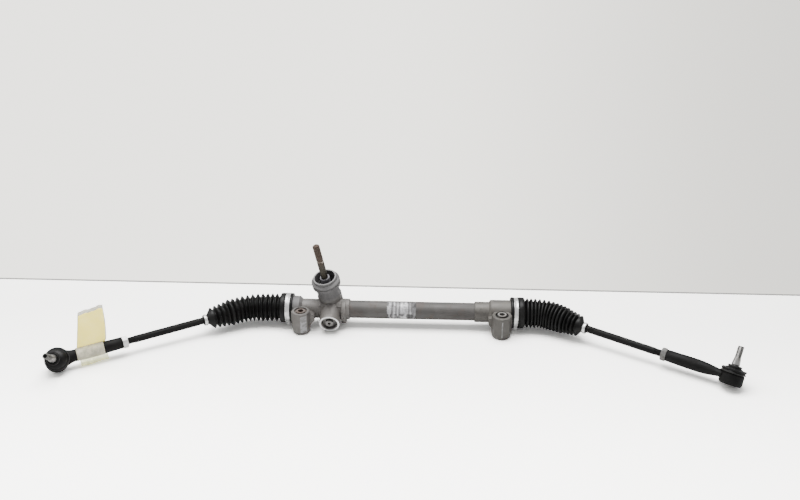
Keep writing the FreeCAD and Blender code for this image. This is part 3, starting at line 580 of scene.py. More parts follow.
def lug_casting(name, dark, light, highlight_from, highlight_to):
    """Casting of a lug, with painted contact shade at its foot, and a painted highlight on one flat of its
    front.
    """
    material, tree, shader, place = new_material(name)
    patches = mottle(tree, place, 90.0, 0.35, 0.7)
    x, y, z = put(tree, "ShaderNodeSeparateXYZ", {0: place}).outputs
    # Painted highlight: a band of one front flat, between two x values, lightened as if it catches the
    # light; patches break it up.
    across = band(tree, x, highlight_from, highlight_to)
    front = spread(tree, y, -0.0095, -0.0115)
    tall = band(tree, z, 0.006, 0.039)
    highlight_patches = spread(tree, mottle(tree, place, 160.0, 0.4, 0.6), 0.0, 1.0, 0.35, 0.95)
    # Painted shade: the foot is darkened where the lug meets the table.
    foot = spread(tree, z, 0.0052, 0.0026)
    base = toned(tree, patches, dark, light)
    base = mixed(tree, times(tree, across, front, tall, highlight_patches), base, paint(0.28, 0.28, 0.285))
    fill(shader, {
        "Base Color": mixed(tree, foot, base, paint(0.012, 0.011, 0.01)),
        "Roughness": spread(tree, patches, 0.0, 1.0, 0.5, 0.62),
        "Metallic": 0.3,
        "Normal": skin(tree, place, 0.3),
    })
    return material


def steel(name, colour, darker, roughness, metallic, grime_and_shade_share=0.4, patches=70.0):
    """Steel with a fine grain, cloudy stains, oily dirt and painted shade on faces that look down."""
    material, tree, shader, place = new_material(name)
    clouds = mottle(tree, place, patches, 0.4, 0.68)
    base = toned(tree, clouds, colour, darker)
    fill(shader, {
        "Base Color": mixed(tree, grime_and_underside_shade(tree, place, grime_and_shade_share), base, paint(*GRIME_AND_SHADE)),
        "Roughness": spread(tree, clouds, 0.0, 1.0, roughness, roughness + 0.14),
        "Metallic": metallic,
        "Normal": skin(tree, place, 0.12, 1500.0),
    })
    return material


def tube_steel():
    """Drawn tube with brownish patches, dark dirt spots, and dark blots laid only below the rack's line."""
    material, tree, shader, place = new_material("Tube steel")
    drawn = stretched_noise(tree, place, (12.0, 120.0, 120.0), 6.0)
    clouds = mottle(tree, place, 26.0, 0.35, 0.7)
    rosy = mottle(tree, place, 48.0, 0.5, 0.66)
    spots = mottle(tree, place, 230.0, 0.63, 0.7)
    blots = mottle(tree, place, 105.0, 0.56, 0.66)
    height = put(tree, "ShaderNodeSeparateXYZ", {0: place}).outputs["Z"]
    low = spread(tree, height, rack_line.z - 0.002, rack_line.z - 0.011)
    base = toned(tree, clouds, (0.057, 0.053, 0.05), (0.075, 0.07, 0.066))
    base = stained(tree, base, rosy, 0.55, (0.064, 0.047, 0.04))
    base = mixed(tree, spread(tree, drawn, 0.45, 0.75, 0.0, 0.3), base, paint(0.05, 0.045, 0.04))
    base = stained(tree, base, spots, 0.55, (0.018, 0.016, 0.014))
    # Dark blots, laid only below the rack's line, so the tube is darker towards its bottom.
    base = stained(tree, base, times(tree, blots, low), 0.75, (0.015, 0.013, 0.012))
    fill(shader, {
        "Base Color": base,
        "Roughness": spread(tree, drawn, 0.3, 0.7, 0.56, 0.7),
        "Metallic": 0.2,
        "Normal": skin(tree, place, 0.14, 1300.0),
    })
    return material


pinch_groove = (0.1064, 0.1084)
rust_start = 0.096
rust_full = 0.112


def pinion_steel():
    """Dark shaft, rust brown towards the serrated tip and oiled below."""
    material, tree, shader, place = new_material("Pinion steel")
    along = along_line(tree, place, pinion_centre, pinion_axis)[0]
    clouds = mottle(tree, place, 180.0, 0.35, 0.65)
    rust = toned(tree, clouds, (0.034, 0.021, 0.014), (0.06, 0.041, 0.029))
    oiled = toned(tree, clouds, (0.024, 0.02, 0.014), (0.045, 0.039, 0.028))
    base = mixed(tree, spread(tree, along, rust_start, rust_full), oiled, rust)
    fill(shader, {
        "Base Color": stained(tree, base, band(tree, along, *pinch_groove), 0.8, (0.22, 0.19, 0.16)),
        "Roughness": spread(tree, clouds, 0.0, 1.0, 0.34, 0.55),
        "Metallic": 0.6,
        "Normal": skin(tree, place, 0.25, 1400.0),
    })
    return material


# Heights over the ball of a stud
stud_thread = (0.0338, 0.0535)
stud_thread_pitch = 0.00125
stud_tip = (0.0532, 0.06)
stud_socket_radius = 0.0031


def stud_colour(tree, place, side, clouds, valley_shade):
    """Bright seat, greyer thread with painted shade in its valleys, and painted shade for the socket in its
    tip.
    """
    along, away = along_line(tree, place, outer_ball(side), stud_line(side))
    base = toned(tree, clouds, (0.42, 0.412, 0.4), (0.26, 0.25, 0.235))
    base = stained(tree, base, valley_shade, 0.7, (0.04, 0.037, 0.033))
    base = mixed(tree, spread(tree, along, 0.031, 0.035, 0.0, 0.62), base, paint(0.12, 0.116, 0.11))
    # Painted shade: the socket in the tip is laid on as a near-black disc.
    socket_shade = times(tree, band(tree, along, *stud_tip), band(tree, away, -0.01, stud_socket_radius))
    return mixed(tree, socket_shade, base, paint(0.006, 0.006, 0.006))


def stud_steel(side):
    """Machined stud with a rolled thread on its upper end."""
    material, tree, shader, place = new_material("Stud steel " + side)
    clouds = mottle(tree, place, 150.0, 0.4, 0.65)
    ball, line = outer_ball(side), stud_line(side)
    height, inside = screw_thread(tree, place, ball, line, stud_thread, stud_thread_pitch)
    # Painted shade in the thread valleys, where the thread's height is low.
    valley_shade = math_node(tree, "SUBTRACT", inside, height, clamp=True)
    bump = put(tree, "ShaderNodeBump", {"Strength": 0.9, "Distance": 0.0006, "Height": height})
    fill(shader, {
        "Base Color": stud_colour(tree, place, side, clouds, valley_shade),
        "Roughness": spread(tree, clouds, 0.0, 1.0, 0.3, 0.46),
        "Metallic": 0.9,
        "Normal": bump.outputs[0],
    })
    return material


# Distances of the thread beside the lock nut from the outer ball
rod_thread_far = 0.132
rod_thread_near = 0.112
rod_thread_pitch = 0.0015


def black_paint(side):
    """Satin black over a forging, with dusty flecks, and a thread beside the lock nut."""
    material, tree, shader, place = new_material("Black paint " + side)
    ball = inner_ball(side)
    length = (outer_ball(side) - ball).length
    ends = (length - rod_thread_far, length - rod_thread_near)
    height = screw_thread(tree, place, ball, rod_line(side), ends, rod_thread_pitch)[0]
    clouds = mottle(tree, place, 55.0, 0.4, 0.7)
    flecks = mottle(tree, place, 420.0, 0.67, 0.75)
    base = toned(tree, clouds, (0.003, 0.0029, 0.0028), (0.007, 0.0066, 0.0062))
    bump = put(tree, "ShaderNodeBump", {
        "Strength": 0.8,
        "Distance": 0.0006,
        "Height": height,
        "Normal": skin(tree, place, 0.3, 700.0),
    })
    fill(shader, {
        "Base Color": stained(tree, base, flecks, 0.35, (0.07, 0.065, 0.058)),
        "Roughness": spread(tree, clouds, 0.0, 1.0, 0.58, 0.74),
        "Specular IOR Level": 0.13,
        "Normal": bump.outputs[0],
    })
    return material


def boot_rubber():
    """Satin black rubber with a dusty bloom."""
    material, tree, shader, place = new_material("Boot rubber")
    clouds = mottle(tree, place, 45.0, 0.4, 0.72)
    dust = mottle(tree, place, 260.0, 0.5, 0.8)
    base = toned(tree, clouds, (0.0035, 0.0034, 0.0033), (0.0075, 0.0072, 0.0069))
    fill(shader, {
        "Base Color": stained(tree, base, dust, 0.25, (0.022, 0.021, 0.0195)),
        "Roughness": spread(tree, clouds, 0.0, 1.0, 0.42, 0.56),
        "Specular IOR Level": 0.16,
        "Normal": skin(tree, place, 0.16, 1200.0),
    })
    return material


def plastic(name, colour, darker, roughness):
    """Moulded plastic or old rubber with faint clouds."""
    material, tree, shader, place = new_material(name)
    clouds = mottle(tree, place, 80.0, 0.4, 0.7)
    fill(shader, {
        "Base Color": toned(tree, clouds, colour, darker),
        "Roughness": spread(tree, clouds, 0.0, 1.0, roughness, roughness + 0.1),
        "Normal": skin(tree, place, 0.08, 1600.0),
    })
    return material


def foil_blocks(tree, place):
    """Dark blocks along the foot and the head of the sticker."""
    height = put(tree, "ShaderNodeSeparateXYZ", {0: place}).outputs["Z"]
    blocks = stretched_noise(tree, place, (170.0, 60.0, 60.0), 1.0)
    foot = spread(tree, height, rack_line.z + 0.003, rack_line.z - 0.0005)
    head = spread(tree, height, rack_line.z + 0.0105, rack_line.z + 0.0135)
    foot_blocks = times(tree, foot, spread(tree, blocks, 0.36, 0.5))
    head_blocks = times(tree, head, spread(tree, blocks, 0.48, 0.56))
    return foot_blocks, head_blocks


def sticker_foil():
    """Silver-white sticker with plain upright bars and dark blocks, worn and scratched."""
    material, tree, shader, place = new_material("Sticker foil")
    wear = mottle(tree, place, 260.0, 0.46, 0.62)
    dull = mottle(tree, place, 80.0, 0.44, 0.6)
    bars = spread(tree, stretched_noise(tree, place, (270.0, 12.0, 12.0), 2.0), 0.48, 0.53)
    foot_blocks, head_blocks = foil_blocks(tree, place)
    base = toned(tree, wear, (0.55, 0.545, 0.56), (0.34, 0.332, 0.34))
    base = stained(tree, base, bars, 0.75, (0.1, 0.096, 0.097))
    base = stained(tree, base, dull, 0.35, (0.1, 0.095, 0.09))
    base = stained(tree, base, foot_blocks, 0.85, (0.03, 0.028, 0.028))
    base = stained(tree, base, head_blocks, 0.7, (0.05, 0.048, 0.047))
    fill(shader, {
        "Base Color": base,
        "Roughness": spread(tree, wear, 0.0, 1.0, 0.42, 0.6),
        "Metallic": 0.15,
    })
    return material


def tape_paper():
    """Pale yellow masking tape with a fine crepe; its colour goes above 1, a painted glow that gives back
    more light than falls on it.
    """
    material, tree, shader, place = new_material("Tag tape")
    clouds = mottle(tree, place, 40.0, 0.4, 0.7)
    crepe = stretched_noise(tree, place, (900.0, 300.0, 140.0), 4.0)
    bump = put(tree, "ShaderNodeBump", {"Strength": 0.35, "Distance": 0.0003, "Height": crepe})
    fill(shader, {
        # Painted glow: these colours go above 1.
        "Base Color": toned(tree, clouds, (1.5, 1.27, 0.27), (1.7, 1.45, 0.38)),
        "Roughness": 0.62,
        "Normal": bump.outputs[0],
    })
    return material


def tape_film(name, colour, lighter, cover):
    """Clear film of the tape where one layer is left."""
    material, tree, shader, place = new_material(name)
    clouds = mottle(tree, place, 90.0, 0.4, 0.7)
    fill(shader, {
        "Base Color": toned(tree, clouds, colour, lighter),
        "Roughness": 0.4,
        "Alpha": spread(tree, clouds, 0.0, 1.0, cover, cover + 0.14),
    })
    return material


def dress(nodes, material):
    """Give CAD nodes a material."""
    for name in nodes:
        mesh = frame["nodes"][name].data
        mesh.materials.clear()
        mesh.materials.append(material)


# Bellows

spigot_radius = 0.0243
cuff_radius = 0.0278
cuff_groove = 0.0012
cuff_length = 0.023
cuff_lip = 0.0045
clamp_width = 0.0079
peak_start = 0.0264
peak_end = 0.018
fold_count = 16
fold_depth = 0.0074
fold_steps = 8
fold_share = 0.93
boot_wall = 0.0011
small_cuff_radius = 0.0088
small_cuff_bore = 0.0068
small_cuff_length = 0.008
small_clamp_at = {"left": 0.0946, "right": 0.0888}
bend_lead = 0.0115
# Folds before which the length over the slide ends, and then the length over the swing
split_folds = (10.5, 11.5)
least_swing_length = 0.006


def boot_line_points(side):
    """Start, bend and end that lead the middle line of a boot round its inner ball."""
    low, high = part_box(side + "_boot")
    collar_x = low.x if side == "right" else high.x
    start = rack_point(collar_x) + outward(side) * cuff_length
    bend = inner_ball(side) + outward(side) * bend_lead
    end = inner_ball(side) + rod_line(side) * (small_clamp_at[side] - small_cuff_length / 2)
    return start, bend, end


boot_ends = {side: boot_line_points(side) for side in SIDES}


def boot_line(side, share):
    """Point on the middle line of a boot and the way it heads there."""
    start, bend, end = boot_ends[side]
    rest = 1 - share
    point = start * rest ** 3 + bend * (3 * share * rest) + end * share ** 3
    heading = (bend - start) * rest ** 2 + (end - bend) * share ** 2
    return point, heading.normalized()


def boot_lengths(side, steps=200):
    """Length along the middle line at evenly spaced shares."""
    total = 0.0
    lengths = [0.0]
    before = boot_line(side, 0.0)[0]
    for k in range(1, steps + 1):
        here = boot_line(side, k / steps)[0]
        total += (here - before).length
        lengths.append(total)
        before = here
    return lengths


def share_at(lengths, length):
    """Share of the curve at which a length is reached."""
    steps = len(lengths) - 1
    for k in range(steps):
        if lengths[k + 1] >= length:
            part = (length - lengths[k]) / (lengths[k + 1] - lengths[k])
            return (k + part) / steps
    return 1.0


def fold_wave(turns):
    """Pleat between -1 in the valleys and 1 on the crests, with small rounded tips."""
    return math.asin(0.95 * math.cos(2 * math.pi * turns)) / math.asin(0.95)


def fold_radius(part):
    """Outside radius at a part of the pleated length."""
    crest = peak_start - (peak_start - peak_end) * (part * fold_share) ** 3
    return crest - fold_depth * 0.5 * (1 - fold_wave(part * (fold_count - 1)))


def cuff_outline():
    """Wide cuff from its lip at the casting to the first pleat, with heights before zero."""
    groove = cuff_radius - cuff_groove
    lip = -cuff_length
    return [
        (spigot_radius, lip),
        (cuff_radius - 0.0008, lip),
        (cuff_radius, lip + 0.0008),
        (cuff_radius, lip + cuff_lip - 0.0003),
        (groove, lip + cuff_lip),
        (groove, lip + cuff_lip + clamp_width),
        (cuff_radius, lip + cuff_lip + clamp_width + 0.0003),
        (cuff_radius, -0.0012),
        (cuff_radius - 0.0006, -0.0002),
    ]


def pleat_outline(pleated, first, last):
    """Pleats between two parts of the pleated length."""
    count = round((last - first) * (fold_count - 1) * fold_steps)
    parts = [first + (last - first) * k / count for k in range(count + 1)]
    return [(fold_radius(part), part * pleated) for part in parts]


def small_cuff_outline(total):
    """Narrow cuff on the tie rod, past the end of the middle line."""
    return [
        (small_cuff_radius + 0.0012, total - 0.0016),
        (small_cuff_radius, total),
        (small_cuff_radius, total + small_cuff_length - 0.0006),
        (small_cuff_radius - 0.0006, total + small_cuff_length),
        (small_cuff_bore, total + small_cuff_length),
    ]


def boot_normal(side):
    """Upright of the plane in which a boot bends."""
    return outward(side).cross(rod_line(side)).normalized()


def bent(bm, side, lengths):
    """Bend a straight boot along its middle line; heights before zero stay straight."""
    start, end = boot_ends[side][0], boot_ends[side][2]
    normal = boot_normal(side)
    for vert in bm.verts:
        across, level, height = vert.co
        if height <= 0:
            point = start + outward(side) * height
            heading = outward(side)
        elif height >= lengths[-1]:
            point = end + rod_line(side) * (height - lengths[-1])
            heading = rod_line(side)
        else:
            point, heading = boot_line(side, share_at(lengths, height))
        sideways = heading.cross(normal).normalized()
        vert.co = point + normal * across + sideways * level


def ring_points(side, lengths, height, radius, count=24):
    """Points round the middle line at one height, where two parts of a boot meet."""
    point, heading = boot_line(side, share_at(lengths, height))
    normal = boot_normal(side)
    sideways = heading.cross(normal).normalized()
    around = [2 * math.pi * k / count for k in range(count)]
    return [point + normal * (radius * math.cos(a)) + sideways * (radius * math.sin(a)) for a in around]


def boot_piece(part, side, outline, lengths, rubber):
    """One length of a boot."""
    bm = lathe(outline)
    bent(bm, side, lengths)
    piece = finished(side + "_boot_" + part, bm, rubber)
    walled(piece, boot_wall, even=False)
    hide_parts(side + "_boot")
    return piece


def blend_slide(piece, side):
    """Bake in place the length that lies over the slide."""
    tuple(boot_ends[side][0])
    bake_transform(piece)


def blend_swing(piece, side, heading, first_ring, second_ring):
    """Find where the length over the swing starts and ends along the turn, and bake it in place."""
    turn = (heading + rod_line(side)).normalized()
    low = max(point.dot(turn) for point in first_ring)
    high = min(point.dot(turn) for point in second_ring)
    high = max(high, low + least_swing_length)
    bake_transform(piece)


def blend_lift(piece, side):
    """Bake in place the length that lies over the lift."""
    line = rod_line(side)
    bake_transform(piece)


def bellows(side, rubber):
    """Pleated boot in three lengths, one over each of the slide, the swing and the lift."""
    lengths = boot_lengths(side)
    total = lengths[-1]
    pleated = total * fold_share
    first, second = [fold / (fold_count - 1) for fold in split_folds]
    over_slide = cuff_outline() + pleat_outline(pleated, 0.0, first)
    over_swing = pleat_outline(pleated, first, second)
    over_lift = pleat_outline(pleated, second, 1.0) + small_cuff_outline(total)
    first_ring = ring_points(side, lengths, first * pleated, peak_start)
    second_ring = ring_points(side, lengths, second * pleated, peak_end + 0.004)
    heading = boot_line(side, first)[1]
    blend_slide(boot_piece("slide", side, over_slide, lengths, rubber), side)
    swing = boot_piece("swing", side, over_swing, lengths, rubber)
    blend_swing(swing, side, heading, first_ring, second_ring)
    blend_lift(boot_piece("lift", side, over_lift, lengths, rubber), side)


# Clamps

big_clamp_gap = 0.00025
big_clamp_wall = 0.001
big_clamp_width = 0.008
big_clamp_seam = Vector((0, -0.5, -0.866))
small_clamp_gap = 0.0002
small_clamp_wall = 0.0013
small_clamp_width = 0.0052
small_clamp_seam = Vector((0, 0.3, -1))


def rolled_band(inner, outer, foot, top):
    """Band with turned edges and a fine groove round its middle."""
    middle = (foot + top) / 2
    edge = outer + 0.00035
    return lathe([
        (inner, foot),
        (edge, foot),
        (edge, foot + 0.0008),
        (outer, foot + 0.0013),
        (outer, middle - 0.0004),
        (outer - 0.0003, middle),
        (outer, middle + 0.0004),
        (outer, top - 0.0013),
        (edge, top - 0.0008),
        (edge, top),
        (inner, top),
    ], closed=True)


def clamp_tail(outer, middle):
    """Flat tail of the band, pressed down past its ear."""
    tail = box((0.0008, 0.015, 0.0074), (outer + 0.0001, 0.009, middle))
    for vert in tail.verts:
        if vert.co.y > 0.01:
            vert.co.x -= 0.0032
    rounded(tail, 0.0003, 2)
    return tail


def big_clamp(side, zinc):
    """Crimped band clamp with turned edges and a raised ear below."""
    inner = cuff_radius - cuff_groove + big_clamp_gap
    outer = inner + big_clamp_wall
    foot = -cuff_length + cuff_lip + 0.0003
    top = foot + big_clamp_width
    middle = (foot + top) / 2
    band_shape = rolled_band(inner, outer, foot, top)
    joined(band_shape, rounded_box((0.0034, 0.0056, 0.0066), (outer + 0.0013, 0, middle), 0.0009, 3))
    joined(band_shape, clamp_tail(outer, middle))
    moved(band_shape, axes_to(boot_ends[side][0], outward(side), big_clamp_seam))
    piece = finished(side + "_clamp_band", band_shape, zinc)
    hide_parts(side + "_big_clamp")
    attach(piece, "housing")


def small_clamp(side, zinc):
    """Narrow band clamp on the rod end of a boot, with its crimped ear."""
    inner = small_cuff_radius + small_clamp_gap
    outer = inner + small_clamp_wall
    half = small_clamp_width / 2
    band_shape = lathe([
        (inner, -half),
        (outer - 0.0003, -half),
        (outer, 0.0003 - half),
        (outer, half - 0.0003),
        (outer - 0.0003, half),
        (inner, half),
    ], closed=True)
    joined(band_shape, rounded_box((0.0022, 0.004, 0.0038), (outer + 0.0007, 0, 0), 0.0006, 2))
    centre = inner_ball(side) + rod_line(side) * small_clamp_at[side]
    moved(band_shape, axes_to(centre, rod_line(side), small_clamp_seam))
    piece = finished(side + "_small_clamp_band", band_shape, zinc)
    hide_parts(side + "_small_clamp")
    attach(piece, side + "_rod")


# Faceted skins of the mounting lugs

lug_top = 0.044
lug_spacing = 0.370
lug_flats = 8
lug_rim_bore = 0.0133
lug_over_top = 0.00015
lug_over_table = 0.0007
# The skins end here, behind the bolts' line, so that they stay out of the housing's bore
lug_skin_back = 0.003


def lug_outline(flat_radius):
    """Half section of a lug at its corners, drafted to a rounded foot, with a chamfered rim."""
    corner = flat_radius / math.cos(math.pi / lug_flats)
    return [
        (lug_rim_bore, lug_top + lug_over_top),
        (corner - 0.0018, lug_top + lug_over_top),
        (corner - 0.0006, lug_top - 0.0008),
        (corner, 0.03),
        (corner - 0.0004, 0.0085),
        (corner - 0.0014, 0.0045),
        (corner - 0.0034, 0.0016),
        (corner - 0.005, lug_over_table),
        (lug_rim_bore, lug_over_table),
    ]


def lug_skin(name, centre_x, flat_radius, turn, casting):
    """Eight flats round a lug, cut off behind it."""
    bm = lathe(lug_outline(flat_radius), lug_flats, closed=True)
    moved(bm, Matrix.Translation((centre_x, 0, 0)) @ Matrix.Rotation(math.radians(turn), 4, "Z"))
    everything = bm.verts[:] + bm.edges[:] + bm.faces[:]
    back = (0, lug_skin_back, 0)
    bmesh.ops.bisect_plane(bm, geom=everything, plane_co=back, plane_no=(0, 1, 0), clear_outer=True)
    bmesh.ops.holes_fill(bm, edges=[edge for edge in bm.edges if edge.is_boundary])
    piece = finished(name, bm, casting, smooth=False)
    edge = piece.modifiers.new("edge", "BEVEL")
    edge.width = 0.0009
    edge.segments = 2
    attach(piece, "housing")


# Dust covers of the outer ball joints

# Half sections of the covers: a flange that stands out on the right, a slack dome on the left
cover_foot = [(0.0178, 0.0066), (0.0194, 0.0066), (0.0197, 0.0072), (0.0197, 0.0086)]
cover_neck = [
    (0.0142, 0.0150),
    (0.0122, 0.0161),
    (0.0108, 0.0166),
    (0.0103, 0.0172),
    (0.0103, 0.0194),
    (0.0098, 0.0200),
    (0.0066, 0.0200),
]
cover_flange = [
    (0.0191, 0.0092),
    (0.0188, 0.0102),
    (0.0200, 0.0112),
    (0.0206, 0.0120),
    (0.0206, 0.0131),
    (0.0200, 0.0137),
    (0.0188, 0.0139),
    (0.0168, 0.0138),
    (0.0158, 0.0141),
]
cover_dome = [
    (0.0190, 0.0093),
    (0.0178, 0.0101),
    (0.0172, 0.0110),
    (0.0171, 0.0121),
    (0.0166, 0.0130),
    (0.0156, 0.0138),
]
cover_wall = 0.0009
flange_radius = 0.0206
flange_sag = 0.0007
# Heights over the ball between which a cover leans from the eye to the stud
lean_start = 0.009
lean_height = 0.0078


def ragged_rim(bm, rim, depth):
    """Let the flange of a cover sag and curl a little as it goes round."""
    for vert in bm.verts:
        share = min(1.0, max(0.0, (vert.co.xy.length - rim + 0.004) / 0.004))
        turn = math.atan2(vert.co.y, vert.co.x)
        sag = math.sin(3 * turn + 0.6) + 0.6 * math.sin(7 * turn) + 0.4 * math.sin(11 * turn + 2.0)
        vert.co.z += depth * share * sag
        vert.co.xy *= 1 + 0.014 * share * math.sin(5 * turn + 1.0)


def leaning(bm, lean):
    """Lean the upper part of a cover over with its stud."""
    for vert in bm.verts:
        share = min(1.0, max(0.0, (vert.co.z - lean_start) / lean_height))
        share = share * share * (3 - 2 * share)
        vert.co = Matrix.Rotation(lean * share, 3, "Y") @ vert.co


def dust_cover(side, rubber):
    """Rubber cover from the groove of the eye to the neck of the stud."""
    shape = cover_flange if side == "right" else cover_dome
    bm = lathe(cover_foot + shape + cover_neck, 72)
    if side == "right":
        ragged_rim(bm, flange_radius, flange_sag)
    leaning(bm, stud_lean(side))
    centre = outer_ball(side)
    moved(bm, axes_to(centre, eye_line(side), rod_line(side)))
    piece = finished(side + "_dust_cover", bm, rubber)
    walled(piece, cover_wall, even=False)
    soft = piece.modifiers.new("soft", "SUBSURF")
    soft.levels = 1
    soft.render_levels = 1
    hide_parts(side + "_dust_boot")
    middle = (eye_line(side) + stud_line(side)).normalized()
    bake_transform(piece)


# Forged skin of the rod ends

# Distance from the outer ball, half width across the stud and half width along it
forging_sizes = [
    (0.1112, 0.0092, 0.0092),
    (0.1104, 0.0102, 0.0102),
    (0.0900, 0.0106, 0.0106),
    (0.0700, 0.0109, 0.0109),
    (0.0580, 0.0109, 0.0109),
    (0.0490, 0.0107, 0.0105),
    (0.0410, 0.0104, 0.0098),
    (0.0340, 0.0103, 0.0088),
    (0.0280, 0.0106, 0.0078),
    (0.0240, 0.0112, 0.0072),
    (0.0210, 0.0121, 0.0069),
    (0.0180, 0.0132, 0.0067),
    (0.0150, 0.0140, 0.0066),
]


def forging_size(distance):
    """Half widths of the forging at a distance from the outer ball."""
    for far, near in zip(forging_sizes, forging_sizes[1:]):
        if distance >= near[0]:
            share = (far[0] - distance) / (far[0] - near[0])
            share = min(1.0, max(0.0, share))
            wide = far[1] + (near[1] - far[1]) * share
            thick = far[2] + (near[2] - far[2]) * share
            return wide, thick
    return forging_sizes[-1][1:]


def rod_end_forging(side, black):
    """Swelling sleeve that flattens and fans out into the eye."""
    section = [(wide, -distance) for distance, wide, thick in forging_sizes]
    bm = lathe([(0, section[0][1])] + section + [(0, section[-1][1])], 48)
    for vert in bm.verts:
        wide, thick = forging_size(-vert.co.z)
        vert.co.y *= thick / wide
    line = rod_line(side)
    moved(bm, axes_to(outer_ball(side), line, line.cross(eye_line(side))))
    piece = finished(side + "_rod_end_forging", bm, black)
    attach(piece, side + "_rod")


# Tape tag on the left rod end

# Distances of its edges from the outer ball, and its heights over the rod's line
tag_near = 0.0322
tag_far = 0.0785
tag_height = 0.083
tag_paper_height = 0.0765
tag_gap = 0.0005
tag_foot = 0.0135
# Angle at each side of the top of the rod where the tape leaves it
tag_leave = math.radians(58)
wrap_steps = 40
flag_thickness = 0.0003
fringe_thickness = 0.0001
wrap_thickness = 0.00012
flap_thickness = 0.0002
fringe_behind = 0.00045
fringe_foot = 0.014


def tag_front():
    """Side of the flag that faces the front."""
    front = UP.cross(rod_line("left")).normalized()
    return front if front.y < 0 else -front


def tag_point(along, height, forward):
    """Point by its distance from the outer ball, its height and how far it stands forward."""
    return outer_ball("left") - rod_line("left") * along + UP * height + tag_front() * forward


def tag_piece(name, bm, thickness, material):
    """Piece of tape that goes with the left rod."""
    piece = finished(name, bm, material)
    walled(piece, thickness)
    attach(piece, "left_rod")


def flag_bow(across, height):
    """How far the flag bends forward at a share across and a height."""
    share = height / tag_height
    curl = -0.0035 * share * share
    ripple = 0.0008 * math.sin(5.0 * across + 4.0 * share) * share
    return curl + ripple


def flag_top(across):
    """Torn top edge of the flag."""
    tear = 0.0008 * math.sin(9 * across) + 0.0005 * math.sin(23 * across + 1)
    return tag_height - 0.005 * (1 - across) ** 2 - 0.001 + tear


def flag_at(across, height):
    """Point of the flag at a share across and a height."""
    share = height / tag_height
    along = tag_near + (tag_far + 0.0042 - tag_near) * across
    lean = share * (0.0155 - 0.01 * across) + 0.0025 * across * math.sin(math.pi * share)
    return tag_point(along + lean, height, flag_bow(across, height))


def flag_paper(paper):
    """Two layers of tape pressed together above the rod."""

    def place(across, up):
        foot = 0.012 + 0.001 * math.sin(7 * across)
        top = flag_top(across) - (tag_height - tag_paper_height)
        side = 0.01 + 0.955 * across
        return flag_at(side, foot + (top - foot) * up)

    tag_piece("tag_flag", sheet_of(24, 24, place), flag_thickness, paper)


def flag_fringe(film):
    """Clear margin of single tape round the flag, just behind the paper."""

    def place(across, up):
        point = flag_at(across, fringe_foot + (flag_top(across) - fringe_foot) * up)
        return point - tag_front() * fringe_behind

    tag_piece("tag_fringe", sheet_of(24, 24, place), fringe_thickness, film)


def wrap_section(along):
    """Tape round the rod, open at the top where it runs into the flag."""
    reach = max(forging_size(along)) + tag_gap
    turns = [tag_leave - (math.pi + 2 * tag_leave) * k / wrap_steps for k in range(wrap_steps + 1)]
    around = [(reach * math.sin(turn), reach * math.cos(turn)) for turn in turns]
    return [(tag_foot, 0.0003)] + around + [(tag_foot, -0.0003)]


def tag_wrap(film):
    """One layer of tape round the rod."""
    rows = wrap_steps + 2

    def place(across, round_rod):
        along = tag_near + (tag_far - tag_near) * across
        high, forward = wrap_section(along)[round(round_rod * rows)]
        return tag_point(along, high, forward)

    tag_piece("tag_wrap", sheet_of(16, rows, place), wrap_thickness, film)


def tag_flap(film):
    """Loose end of the tape below the rod."""

    def place(across, down):
        along = tag_near + 0.004 + (tag_far - tag_near + 0.001) * across
        top = -max(forging_size(min(tag_far, along))) - tag_gap + 0.001
        drop = 0.0095 + 0.001 * math.sin(6 * across)
        return tag_point(along, top - drop * down, 0.004 + 0.005 * down * down)

    tag_piece("tag_flap", sheet_of(16, 6, place), flap_thickness, film)


# Sticker on the tube

tube_radius = 0.0165
sticker_start = 0.1585
sticker_length = 0.0535
sticker_turn = math.radians(138)
sticker_gap = 0.00012
sticker_thickness = 0.0001
sticker_lower_edge = Vector((0, -0.68, -0.73))


def sticker(foil):
    """Thin worn foil round the front and top of the tube."""
    bm = bmesh.new()
    radius = tube_radius + sticker_gap
    line = [bm.verts.new((radius, 0, height)) for height in (0.0, sticker_length / 2, sticker_length)]
    edges = [bm.edges.new(pair) for pair in zip(line, line[1:])]
    bmesh.ops.spin(
        bm, geom=line + edges, cent=(0, 0, 0), axis=(0, 0, 1), angle=-sticker_turn, steps=40
    )
    moved(bm, axes_to(rack_point(sticker_start), RIGHT, sticker_lower_edge))
    piece = finished("tube_sticker", bm, foil)
    walled(piece, sticker_thickness).offset = 1
    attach(piece, "housing")


# Table, light and camera

table_back_y = 0.180
table_middle_x = 0.2
table_width = 6.0
table_depth = 3.0
table_thickness = 0.02
seam_width = 0.005
seam_height = 0.0005


def table_paint():
    """Pale table, whiter for the camera, with painted light that grows towards the front."""
    material, tree, shader, place = new_material("Pale table")
    clouds = mottle(tree, place, 3.0, 0.3, 0.7)
    seen = tree.nodes.new("ShaderNodeLightPath").outputs["Is Camera Ray"]
    depth = put(tree, "ShaderNodeSeparateXYZ", {0: place}).outputs["Y"]
    # Painted light: the table is whiter towards the front, as if more light falls there.
    front = math_node(tree, "ADD", spread(tree, depth, 0.12, -0.5), times(tree, clouds, 0.06))
    lit = toned(tree, clouds, (0.79, 0.785, 0.775), (0.81, 0.805, 0.795))
    shown = toned(tree, front, (1.6, 1.58, 1.53), (2.5, 2.47, 2.38))
    fill(shader, {"Base Color": mixed(tree, seen, lit, shown), "Roughness": 0.45})
    return material


def seam_shade_paint():
    """Dark grey strip: painted shade along the table's back edge."""
    material, tree, shader, place = new_material("Table seam")
    fill(shader, {"Base Color": paint(0.2, 0.195, 0.19), "Roughness": 0.8})
    return material


def table():
    """Table top with its back edge behind the rack, and a strip of painted shade along that edge."""
    size = (table_width, table_depth, table_thickness)
    centre = (table_middle_x, table_back_y - table_depth / 2, -table_thickness / 2)
    finished("table", box(size, centre), table_paint(), smooth=False)
    size = (table_width, seam_width, table_thickness)
    centre = (table_middle_x, table_back_y + seam_width / 2, seam_height - table_thickness / 2)
    finished("table_seam", box(size, centre), seam_shade_paint(), smooth=False)


